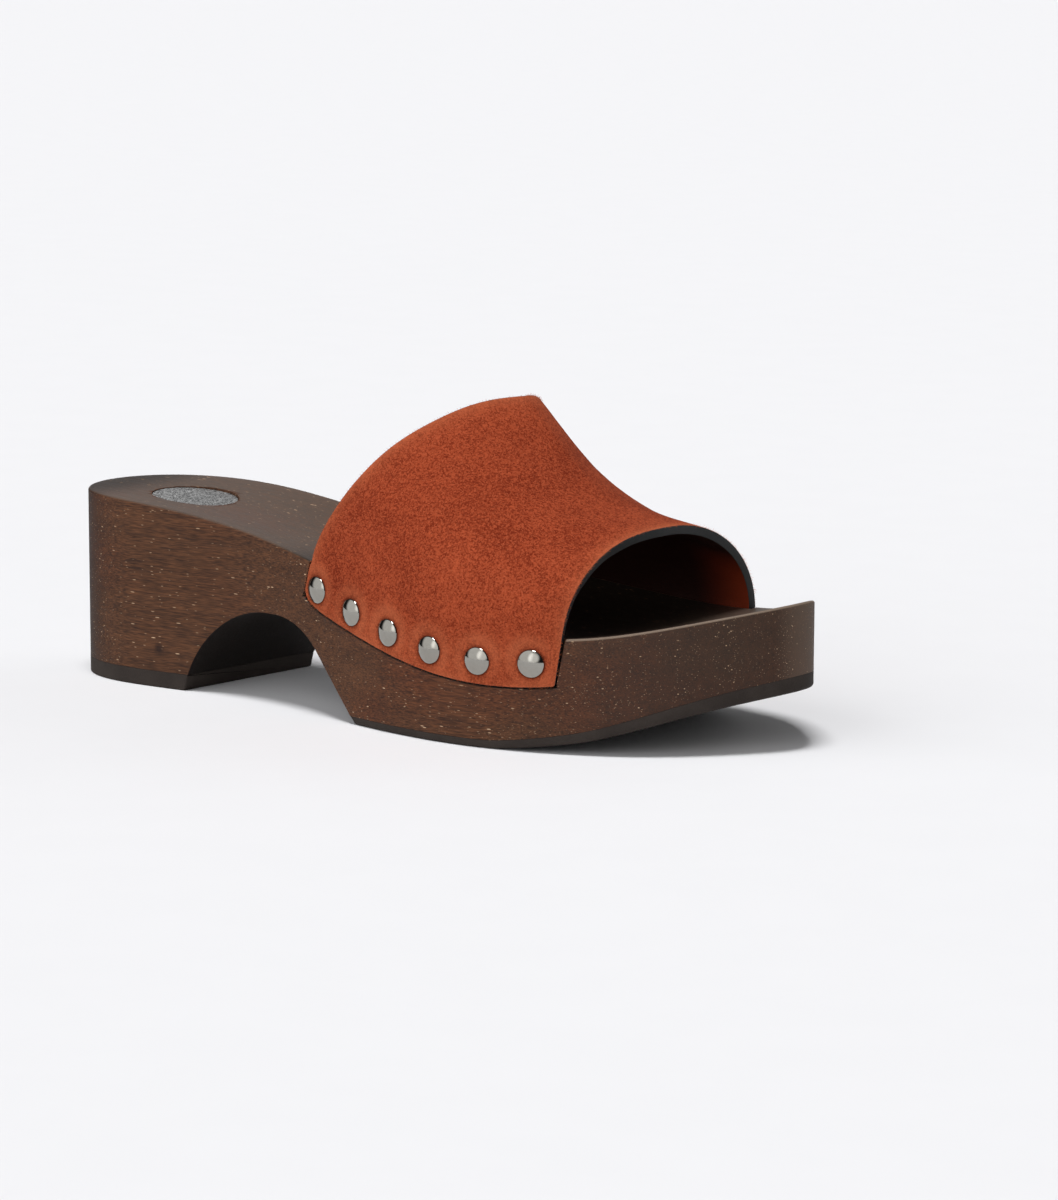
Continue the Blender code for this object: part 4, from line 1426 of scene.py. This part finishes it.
    @cached_property
    def nails(self) -> list[tuple[str, np.ndarray, np.ndarray]]:
        """Each nail's name, its place on the leather and the way that it points."""
        found = []
        for side, word in ((-1.0, "lateral"), (1.0, "medial")):
            section = np.linspace(0, 1, 401)
            x, z = self.foot(section, side)
            rise = self.lateral_nail_rear_rise * (1 - section) + self.lateral_nail_front_rise * section
            if side > 0:
                rise = self.medial_nail_rise
            path = np.column_stack([x, LAST.wall(x, side), z + rise])
            along = np.concatenate([[0], np.cumsum(np.linalg.norm(np.diff(path, axis=0), axis=1))])
            wanted = np.linspace(self.nail_margin, along[-1] - self.nail_margin, self.nail_count)
            for number, distance in enumerate(wanted, start=1):
                place = np.array([np.interp(distance, along, path[:, k]) for k in range(3)])
                out = LAST.normal(np.array([place[0]]), side)[0]
                found.append((f"{word}_{number}", place, np.array([out[0], out[1], 0.0])))
        return found

    @cached_property
    def edge_distance(self) -> np.ndarray:
        """How far each point of the grid lies from the leather's nearest edge."""
        points, rear = self.grid, self.from_rear
        front = rear[-1:] - rear
        steps = np.linalg.norm(np.diff(points, axis=1), axis=-1)
        lateral = np.concatenate([np.zeros((points.shape[0], 1)), np.cumsum(steps, 1)], 1)
        medial = lateral[:, -1:] - lateral
        return np.minimum(np.minimum(rear, front), np.minimum(lateral, medial))

    @cached_property
    def from_rear(self) -> np.ndarray:
        """How far each point of the grid lies from the rear edge."""
        steps = np.linalg.norm(np.diff(self.grid, axis=0), axis=-1)
        return np.concatenate([np.zeros((1, self.grid.shape[1])), np.cumsum(steps, 0)])

    @cached_property
    def relief(self) -> tuple[np.ndarray, dict[str, np.ndarray]]:
        """The outer face with its relief, and the marks that the suede reads."""
        points, form = self.grid, self.form
        raised, marks = self._dimples(points)
        raised += self._folds(points) + self._crown(points)
        swell = form.swell * self._waves(points, form.swells_per_metre)
        ripple = form.ripple * self._waves(points, form.ripples_per_metre)
        inner = smooth_step(self.edge_distance, 0.0, form.calm_edge)
        raised += (swell + ripple) * (form.calm_share + (1 - form.calm_share) * inner)
        tab = points[..., 2] < LAST.rim(points[..., 0], np.sign(points[..., 1])) + form.tab_margin
        raised = np.where(tab, np.clip(raised, *form.tab_limits), raised)
        return points + self.normals(points) * raised[..., None], marks

    def _dimples(self, points: np.ndarray) -> tuple[np.ndarray, dict[str, np.ndarray]]:
        """The dimple and the ring round each nail.

        Args:
            points: The grid.
        Returns:
            Heights, and where the nap is worn and where a shadow is painted round each nail head.
        """
        form = self.form
        raised, nail_shade = np.zeros(points.shape[:2]), np.zeros(points.shape[:2])
        worn = np.exp(-self.edge_distance / form.edge_wear)
        for _, place, _ in self.nails:
            reach = np.linalg.norm(points - place, axis=-1)
            raised -= form.dimple_depth * np.exp(-((reach / form.dimple_radius) ** 2))
            raised += form.ring_height * np.exp(-(((reach - form.ring_radius) / form.ring_width) ** 2))
            halo = np.exp(-(((reach - form.halo_radius) / form.halo_width) ** 2))
            worn = np.maximum(worn, form.halo * halo)
            # A painted shadow round each nail head.
            nail_shade = np.maximum(nail_shade, form.nail_shadow * (1 - smooth_step(reach, *form.nail_shadow_radii)))
        return raised, {"worn": worn, "nail_shade": nail_shade}

    def _crown(self, points: np.ndarray) -> np.ndarray:
        """How the rear edge settles over the instep.

        Args:
            points: The grid.
        Returns:
            Heights over the grid.
        """
        raised = np.zeros(points.shape[:2])
        near = np.exp(-((self.from_rear / self.form.crown_reach) ** 2))
        near *= points[..., 2] > self.form.crown_from_z
        for y, width, height in CROWN:
            raised += height * near * np.exp(-(((points[..., 1] - y) / width) ** 2))
        return raised

    @staticmethod
    def _waves(points: np.ndarray, per_metre: float) -> np.ndarray:
        """Soft irregular waves over the grid."""
        flat = points.reshape(-1, 3)
        return np.array([noise.noise(Vector(p) * per_metre) for p in flat]).reshape(points.shape[:2])

    def _folds(self, points: np.ndarray) -> np.ndarray:
        """The soft folds, each a trough with a low lip on both sides.

        Args:
            points: The grid.
        Returns:
            Heights over the grid.
        """
        form = self.form
        section = np.linspace(0, 1, points.shape[0])[:, None]
        across = np.linspace(0, 1, points.shape[1])[None]
        span = np.linalg.norm(np.diff(points, axis=0), axis=-1).sum(0).mean()
        girth = np.linalg.norm(np.diff(points, axis=1), axis=-1).sum(1).mean()
        raised = np.zeros(points.shape[:2])
        outer, inner = form.fold_fade
        for s0, a0, s1, a1, width, fold in FOLDS:
            run = np.array([(s1 - s0) * span, (a1 - a0) * girth])
            length = np.hypot(*run)
            du, dv = (section - s0) * span, (across - a0) * girth
            along = (du * run[0] + dv * run[1]) / length
            aside = (du * run[1] - dv * run[0]) / length + form.fold_wander * np.sin(along / length * math.pi)
            fade = smooth_step(along, -outer, inner)
            fade = fade * (1 - smooth_step(along, length - inner, length + outer))
            lip = (np.abs(aside) - form.fold_lip_place * width) / width
            raised += fold * fade * (form.fold_lip * np.exp(-(lip**2)) - np.exp(-((aside / width) ** 2)))
        return raised


@dataclass
class CarvedSole:
    """The wooden block, with rebates for the band and a pocket for the disc."""

    rim_radius: float = 0.0008
    low_radius: float = 0.00008
    rebate_gap: float = 0.00035
    front_gap: float = 0.0022
    chamfer: float = 0.00035
    reach: float = 0.012
    wall_rows: int = 9
    cutter_sections: int = 120
    form: SoleForm = field(default_factory=SoleForm)
    band: Band = field(default_factory=Band)

    def build(self, wood: bpy.types.Material, disc: "SeatDisc") -> bpy.types.Object:
        """Makes the wooden sole.

        Args:
            wood: Its finish.
            disc: The disc whose pocket is cut.
        Returns:
            The piece.
        """
        work = self.form.solid(
            LAST.footbed,
            lambda x, y, out: LAST.wood_bottom(x, y),
            self.rim_radius,
            self.low_radius,
            self.wall_rows,
        )
        piece = finish_piece("carved_sole", work, [wood])
        cutters = [self._rebate(-1.0), self._rebate(1.0), disc.pocket()]
        for cutter in cutters:
            boolean = piece.modifiers.new("cut", "BOOLEAN")
            boolean.operation = "DIFFERENCE"
            boolean.solver = "EXACT"
            boolean.object = cutter
        bake_modifiers(piece, 38.0)
        for cutter in cutters:
            bpy.data.objects.remove(cutter)
        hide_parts("wood_sole")
        return piece

    def _rebate(self, side: float) -> bpy.types.Object:
        """The space that a tab and its clearance take, with a small chamfer where it breaks the wall.

        Args:
            side: -1 lateral or 1 medial.
        Returns:
            The cutter.
        """
        band, gap = self.band, self.rebate_gap
        rear, front, _, _ = band.ends(side)
        section = np.linspace(0, 1, self.cutter_sections)
        low_x, low_z = band.foot(section, side)
        end = gap * (2 * section - 1)
        high_x = rear * (1 - section) + front * section
        high_z = LAST.rim(high_x, side)
        lean = (high_x - low_x) / (high_z - low_z)
        up = LAST.heel_height + self.reach
        high_x[-1] += self.front_gap
        flare = np.zeros(len(section))
        flare[0], flare[-1] = -self.chamfer, self.chamfer
        deep = -(band.leather + gap)
        rows = []
        for k, (out_x, out_y) in enumerate(LAST.normal(low_x, side)):
            low, bottom = low_x[k] + end[k], low_z[k] - gap
            high = high_x[k] + end[k] + lean[k] * (up - high_z[k])
            ring = [
                (low, bottom, deep),
                (high, up, deep),
                (high, up, self.reach),
                (low + flare[k], bottom - self.chamfer, self.reach),
                (low + flare[k], bottom - self.chamfer, 0.0),
                (low, bottom, -self.chamfer),
            ]
            rows.append([(x, float(LAST.wall(x - out_x * out, side)) + out_y * out, z) for x, z, out in ring])
        work = surface(np.array(rows), closed=True)
        bmesh.ops.holes_fill(work, edges=[edge for edge in work.edges if edge.is_boundary], sides=0)
        bmesh.ops.recalc_face_normals(work, faces=work.faces)
        return new_object("rebate", work)


@dataclass
class RubberTreads:
    """The rubber under the heel and under the forefoot, each cut off where the tunnel starts."""

    edge_radius: float = 0.0004
    toe_edge_radius: float = 0.0010
    cut_radius: float = 0.0004
    seam_radius: float = 0.00008
    heel_rows: int = 4
    forefoot_rows: int = 3
    form: SoleForm = field(default_factory=SoleForm)

    def build(self, rubber: bpy.types.Material) -> list[bpy.types.Object]:
        """Makes both treads.

        Args:
            rubber: Their finish.
        Returns:
            The heel's and the forefoot's.
        """
        return [self._heel(rubber), self._forefoot(rubber)]

    def _plane(self, line: float, z: float, climb: float, forward: float) -> tuple[Vector, Vector]:
        """The plane of one of the tunnel's ends.

        Args:
            line: Where it crosses the shoe's axis.
            z: At what height it does.
            climb: Its slope, as x for each metre of height.
            forward: 1 to face the toe and -1 to face the heel.
        Returns:
            A point and the normal.
        """
        tangent = math.tan(LAST.tunnel.turn)
        normal = Vector((1.0, -tangent, -climb)).normalized() * forward
        return Vector((line, 0.0, z)) + Vector(LAST.shift), normal

    def _heel(self, rubber: bpy.types.Material) -> bpy.types.Object:
        """Makes the heel's rubber, a flat lift.

        Args:
            rubber: Its finish.
        Returns:
            The piece.
        """
        work = self.form.solid(
            lambda x, y, out: np.full_like(x, LAST.heel_lift),
            lambda x, y, out: np.zeros_like(x),
            self.seam_radius,
            self.edge_radius,
            self.heel_rows,
        )
        low = LAST.tunnel.rear_at(0.0)
        climb = (LAST.tunnel.rear_at(LAST.heel_lift) - low) / LAST.heel_lift
        trim(work, *self._plane(low, 0.0, climb, 1.0), self.cut_radius)
        piece = finish_piece("heel_rubber", work, [rubber])
        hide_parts("heel_lift")
        return piece

    def _forefoot(self, rubber: bpy.types.Material) -> bpy.types.Object:
        """Makes the forefoot's rubber, which follows the rocker up to the toe.

        Args:
            rubber: Its finish.
        Returns:
            The piece.
        """
        work = self.form.solid(
            lambda x, y, out: LAST.tread_top(x),
            lambda x, y, out: LAST.tread_bottom(x),
            self.seam_radius,
            self.toe_edge_radius,
            self.forefoot_rows,
        )
        climb = -1 / math.tan(LAST.tunnel.ramp)
        trim(work, *self._plane(LAST.tunnel.ramp_foot, 0.0, climb, -1.0), self.cut_radius)
        piece = finish_piece("forefoot_rubber", work, [rubber])
        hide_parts("forefoot_tread")
        return piece


@dataclass
class SeatDisc:
    """The blank silver disc let into the heel seat."""

    radius: float = 0.0132
    thickness: float = 0.0008
    recess: float = 0.0002
    x: float = 0.0338
    y: float = 0.0010
    gap: float = 0.0002
    rim: float = 0.00022
    sides: int = 96
    cutter_rise: float = 0.01

    @cached_property
    def place(self) -> Matrix:
        """The middle of its upper face, with Z along the footbed's normal."""
        step = self.radius / 2

        def height(x: float, y: float) -> float:
            """The footbed's height at a point."""
            spot = np.array(x), np.array(y)
            return float(LAST.footbed(*spot, LAST.across(*spot)))

        along = Vector((2 * step, 0, height(self.x + step, self.y) - height(self.x - step, self.y)))
        across = Vector((0, 2 * step, height(self.x, self.y + step) - height(self.x, self.y - step)))
        normal = along.cross(across).normalized()
        middle = Vector((self.x, self.y, height(self.x, self.y))) - normal * self.recess
        turn = normal.to_track_quat("Z", "Y").to_matrix().to_4x4()
        return Matrix.Translation(middle + Vector(LAST.shift)) @ turn

    def _plate(self, radius: float, low: float, high: float) -> bmesh.types.BMesh:
        """A round plate between two heights over the disc's face.

        Args:
            radius: The plate's radius.
            low: Height of its underside.
            high: Height of its upper face.
        Returns:
            The bmesh, not yet in its place.
        """
        lift = Matrix.Translation((0, 0, (low + high) / 2))
        work = bmesh.new()
        bmesh.ops.create_cone(
            work,
            cap_ends=True,
            segments=self.sides,
            radius1=radius,
            radius2=radius,
            depth=high - low,
            matrix=lift,
        )
        return work

    def pocket(self) -> bpy.types.Object:
        """The pocket's cutter."""
        work = self._plate(self.radius + self.gap, -self.thickness - self.gap, self.cutter_rise)
        bmesh.ops.transform(work, matrix=self.place, verts=work.verts)
        return new_object("pocket", work)

    def build(self, silver: bpy.types.Material) -> bpy.types.Object:
        """Makes the disc.

        Args:
            silver: Its finish.
        Returns:
            The piece.
        """
        work = self._plate(self.radius, -self.thickness, 0.0)
        upper = [edge for edge in work.edges if all(vert.co.z > -self.thickness / 2 for vert in edge.verts)]
        round_edges(work, upper, self.rim)
        bmesh.ops.transform(work, matrix=self.place, verts=work.verts)
        piece = finish_piece("seat_disc", work, [silver])
        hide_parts("heel_disc")
        return piece


@dataclass
class Nails:
    """Polished dome-headed nails in two rows."""

    head_radius: float = 0.0041
    head_height: float = 0.0014
    seat: float = -0.00012
    lip: float = 0.00022
    lip_start: float = 0.35
    lip_share: float = 0.6
    underside_share: float = 0.72
    sides: int = 48
    rings: int = 12
    lip_rings: int = 4
    band: Band = field(default_factory=Band)

    def build(self, metal: bpy.types.Material) -> list[bpy.types.Object]:
        """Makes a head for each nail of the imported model.

        Args:
            metal: Their finish.
        Returns:
            The pieces.
        """
        heads = []
        for name, place, out in self.band.nails:
            work = self._head()
            direction = Vector(out)
            middle = Vector(place + LAST.shift) + direction * self.seat
            turn = direction.to_track_quat("Z", "Y").to_matrix().to_4x4()
            bmesh.ops.transform(work, matrix=Matrix.Translation(middle) @ turn, verts=work.verts)
            head = finish_piece(f"nail_head_{name}", work, [metal], 60.0)
            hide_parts(f"nail_{name}")
            heads.append(head)
        return heads

    def _head(self) -> bmesh.types.BMesh:
        """One head, spun about Z: a shallow dome with a turned-under edge."""
        sphere = (self.head_radius**2 + self.head_height**2) / (2 * self.head_height)
        lip = self.lip
        profile = []
        for turn in np.linspace(0, math.asin(self.head_radius / sphere), self.rings):
            z = sphere * math.cos(turn) - sphere + self.head_height
            profile.append((sphere * math.sin(turn), z + lip))
        for turn in np.linspace(self.lip_start, math.pi / 2, self.lip_rings):
            tuck = lip * (1 - math.cos(turn)) * self.lip_share
            profile.append((self.head_radius - tuck, lip * (1 - math.sin(turn))))
        profile += [(self.head_radius * self.underside_share, 0.0), (0.0, 0.0)]
        work = bmesh.new()
        verts = [work.verts.new((radius, 0, z)) for radius, z in profile]
        edges = [work.edges.new(pair) for pair in zip(verts, verts[1:])]
        bmesh.ops.spin(
            work,
            geom=verts + edges,
            axis=(0, 0, 1),
            cent=(0, 0, 0),
            angle=math.tau,
            steps=self.sides,
            use_merge=True,
        )
        bmesh.ops.remove_doubles(work, verts=work.verts, dist=1e-7)
        bmesh.ops.recalc_face_normals(work, faces=work.faces)
        return work


@dataclass
class SuedeBand:
    """The band as it shows: nap outside, painted edges, lining inside and loose fibres."""

    shown_thickness: float = 0.0026
    edge_radius: float = 0.00024
    fibre_count: int = 2600
    fibre_shares: tuple[float, float, float, float] = (0.36, 0.34, 0.17, 0.13)
    fibre_root: float = 0.00008
    fibre_length: tuple[float, float] = (0.00035, 0.0010)
    fibre_radius: tuple[float, float] = (0.00002, 0.00004)
    band: Band = field(default_factory=Band)

    def build(self, materials: dict[str, bpy.types.Material]) -> list[bpy.types.Object]:
        """Makes the band and its fibres.

        Args:
            materials: Finishes by name: suede, edge, lining and fibre.
        Returns:
            The pieces.
        """
        return [self._leather(materials), self._fibres(materials["fibre"])]

    def _leather(self, materials: dict[str, bpy.types.Material]) -> bpy.types.Object:
        """Makes the leather itself, thickened inwards, with its cut edges rounded.

        Args:
            materials: Finishes by name.
        Returns:
            The piece.
        """
        points, marks = self.band.relief
        work = surface(points, marks=marks)
        bmesh.ops.recalc_face_normals(work, faces=work.faces)
        middle = max(work.faces, key=lambda face: face.calc_center_median().z)
        if middle.normal.z < 0:
            bmesh.ops.reverse_faces(work, faces=work.faces)
        faces = [materials[name] for name in ("suede", "edge", "lining")]
        piece = finish_piece("suede_band", work, faces)
        wall = piece.modifiers.new("leather", "SOLIDIFY")
        wall.thickness = self.shown_thickness
        wall.offset = -1.0
        wall.use_even_offset = True
        wall.material_offset = 2
        wall.material_offset_rim = 1
        rounding = piece.modifiers.new("edges", "BEVEL")
        rounding.width = self.edge_radius
        rounding.segments = 3
        rounding.limit_method = "ANGLE"
        rounding.angle_limit = math.radians(50)
        rounding.material = 1
        bake_modifiers(piece, 60.0)
        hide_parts("upper")
        return piece

    def _fibres(self, fibre: bpy.types.Material) -> bpy.types.Object:
        """Makes short loose fibres of nap along the band's four cut edges.

        Args:
            fibre: Their finish.
        Returns:
            The piece.
        """
        points, _ = self.band.relief
        normal = Band.normals(points)
        rng = np.random.default_rng(7)
        rows, columns = points.shape[:2]
        work = bmesh.new()
        for _ in range(self.fibre_count):
            edge = rng.choice(4, p=self.fibre_shares)
            inset = int(rng.integers(0, 3))
            if edge < 2:
                j = int(rng.integers(2, columns - 2))
                i = inset if edge == 0 else rows - 1 - inset
            else:
                j = inset if edge == 2 else columns - 1 - inset
                i = int(rng.integers(2, rows - 2))
            root, up = points[i, j], normal[i, j]
            away = root - points[min(max(i, 6), rows - 7), min(max(j, 6), columns - 7)]
            away = away / max(np.linalg.norm(away), 1e-9)
            lean = up * rng.uniform(0.35, 1.0) + away * rng.uniform(0.0, 0.9) + rng.normal(0, 0.45, 3)
            lean /= np.linalg.norm(lean)
            length = rng.uniform(*self.fibre_length)
            start = Vector(root - up * self.fibre_root + LAST.shift)
            self._fibre(work, start, start + Vector(lean) * length, rng.uniform(*self.fibre_radius))
        return finish_piece("edge_fibres", work, [fibre], 180.0)

    def _fibre(self, work: bmesh.types.BMesh, start: Vector, tip: Vector, radius: float) -> None:
        """Adds one fibre: a three-sided spike.

        Args:
            work: The bmesh that it joins.
            start: Its root.
            tip: Its tip.
            radius: Its radius at the root.
        """
        direction = tip - start
        turn = direction.to_track_quat("Z", "Y").to_matrix().to_4x4()
        bmesh.ops.create_cone(
            work,
            cap_ends=True,
            segments=3,
            radius1=radius,
            radius2=radius / 4,
            depth=direction.length,
            matrix=Matrix.Translation((start + tip) / 2) @ turn,
        )


@dataclass
class Studio:
    """Pale floor, soft windows of light and the camera at the photograph's angle."""

    azimuth: float = math.radians(34.64)
    elevation: float = math.radians(9.77)
    roll: float = 0.003
    distance: float = 1.484
    target: tuple[float, float, float] = (0.04395, 0.16724, 0.0)
    focal_pixels: float = 4369.0
    frame_height: float = 1200.0
    sensor: float = 36.0
    far_limit: float = 200.0
    floor_size: float = 60.0
    floor_dark: Colour = (0.785, 0.785, 0.795)
    floor_light: Colour = (0.790, 0.790, 0.800)
    surround: float = 0.015
    daylight: Colour = (0.99, 0.99, 1.0)

    def build(self) -> None:
        """Sets up the whole studio."""
        self._camera()
        self._floor()
        self._world()
        view = bpy.context.scene.view_settings
        view.view_transform = "Standard"
        view.look = "None"

    def _camera(self) -> None:
        """Places the camera, framed like the photograph."""
        a, e = self.azimuth, self.elevation
        back = Vector((math.sin(a) * math.cos(e), -math.cos(a) * math.cos(e), math.sin(e)))
        right = Vector((math.cos(a), math.sin(a), 0))
        up = back.cross(right)
        c, s = math.cos(self.roll), math.sin(self.roll)
        turned_right, turned_up = right * c + up * s, up * c - right * s
        data = bpy.data.cameras.new("camera")
        data.sensor_fit = "VERTICAL"
        data.sensor_height = self.sensor
        data.lens = self.focal_pixels / self.frame_height * self.sensor
        data.clip_end = self.far_limit
        camera = bpy.data.objects.new("camera", data)
        bpy.context.scene.collection.objects.link(camera)
        turn = Matrix((turned_right, turned_up, back)).transposed().to_4x4()
        place = Vector(self.target) + Vector(LAST.shift) + back * self.distance
        camera.matrix_world = Matrix.Translation(place) @ turn
        bpy.context.scene.camera = camera

    def _floor(self) -> None:
        """A plain pale floor."""
        work = bmesh.new()
        bmesh.ops.create_grid(work, x_segments=1, y_segments=1, size=self.floor_size / 2)
        floor = new_object("floor", work)
        sheet = NodeSheet("pale_floor")
        sheet.constants(Roughness=0.9, Specular_IOR_Level=0.0)
        tone = sheet.ramp(sheet.noise(40.0, 2.0), 0.3, 0.7)
        sheet.feed("Base Color", sheet.mix(tone, self.floor_dark, self.floor_light))
        floor.data.materials.append(sheet.material)

    def _world(self) -> None:
        """A dim surround with soft windows of light, placed by the camera's own directions."""
        world = bpy.data.worlds.new("surround")
        bpy.context.scene.world = world
        world.use_nodes = True
        tree = world.node_tree
        coordinates = tree.nodes.new("ShaderNodeTexCoord")
        right = Vector((math.cos(self.azimuth), math.sin(self.azimuth), 0))
        toward = Vector((math.sin(self.azimuth), -math.cos(self.azimuth), 0))
        total = None
        for _, to_right, to_camera, up, inner, outer, radiance in WINDOWS:
            heading = (right * to_right + toward * to_camera + Vector((0, 0, up))).normalized()
            dot = tree.nodes.new("ShaderNodeVectorMath")
            dot.operation = "DOT_PRODUCT"
            tree.links.new(coordinates.outputs["Generated"], dot.inputs[0])
            dot.inputs[1].default_value = heading
            window = tree.nodes.new("ShaderNodeMapRange")
            window.interpolation_type = "SMOOTHSTEP"
            low, high = math.cos(math.radians(outer)), math.cos(math.radians(inner))
            for index, value in ((1, low), (2, high), (3, 0.0), (4, radiance)):
                window.inputs[index].default_value = value
            tree.links.new(dot.outputs["Value"], window.inputs[0])
            added = tree.nodes.new("ShaderNodeMath")
            added.operation = "ADD"
            added.inputs[0].default_value = self.surround
            if total is not None:
                tree.links.new(total, added.inputs[0])
            tree.links.new(window.outputs[0], added.inputs[1])
            total = added.outputs[0]
        background = tree.nodes["Background"]
        background.inputs["Color"].default_value = (*self.daylight, 1.0)
        tree.links.new(total, background.inputs["Strength"])


def finishes() -> dict[str, bpy.types.Material]:
    """Every finish of the shoe, by the piece that wears it."""
    rubber = PlainFinish(
        "tread_rubber", (0.0280, 0.0215, 0.0182), (0.0450, 0.0360, 0.0310), 0.78, 2400.0, 0.00005, gleam=0.14
    )
    edge = PlainFinish(
        "edge_paint", (0.0150, 0.0160, 0.0162), (0.0300, 0.0315, 0.0320), 0.62, 1800.0, 0.00005, gleam=0.18
    )
    fibre = PlainFinish(
        "loose_nap", (0.470, 0.110, 0.042), (0.580, 0.180, 0.075), 0.95, 900.0, 0.0, gleam=0.05
    )
    nail = PlainFinish(
        "polished_nickel", (0.295, 0.282, 0.250), (0.350, 0.337, 0.304), 0.10, 900.0, 0.000002, metallic=1.0
    )
    return {
        "wood": WoodFinish().make(),
        "suede": SuedeFinish().make(),
        "disc": GlitterFinish().make(),
        "rubber": rubber.make(),
        "edge": edge.make(),
        "lining": LiningFinish().make(),
        "fibre": fibre.make(),
        "nail": nail.make(),
    }


def main() -> None:
    """Builds the shoe and its studio."""
    logging.basicConfig(level=logging.INFO, format="%(name)s: %(message)s")
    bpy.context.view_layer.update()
    dressed = finishes()
    form, band, disc = SoleForm(), Band(), SeatDisc()
    CarvedSole(form=form, band=band).build(dressed["wood"], disc)
    RubberTreads(form=form).build(dressed["rubber"])
    disc.build(dressed["disc"])
    SuedeBand(band=band).build(dressed)
    Nails(band=band).build(dressed["nail"])
    Studio().build()


if __name__ == "__main__":
    main()
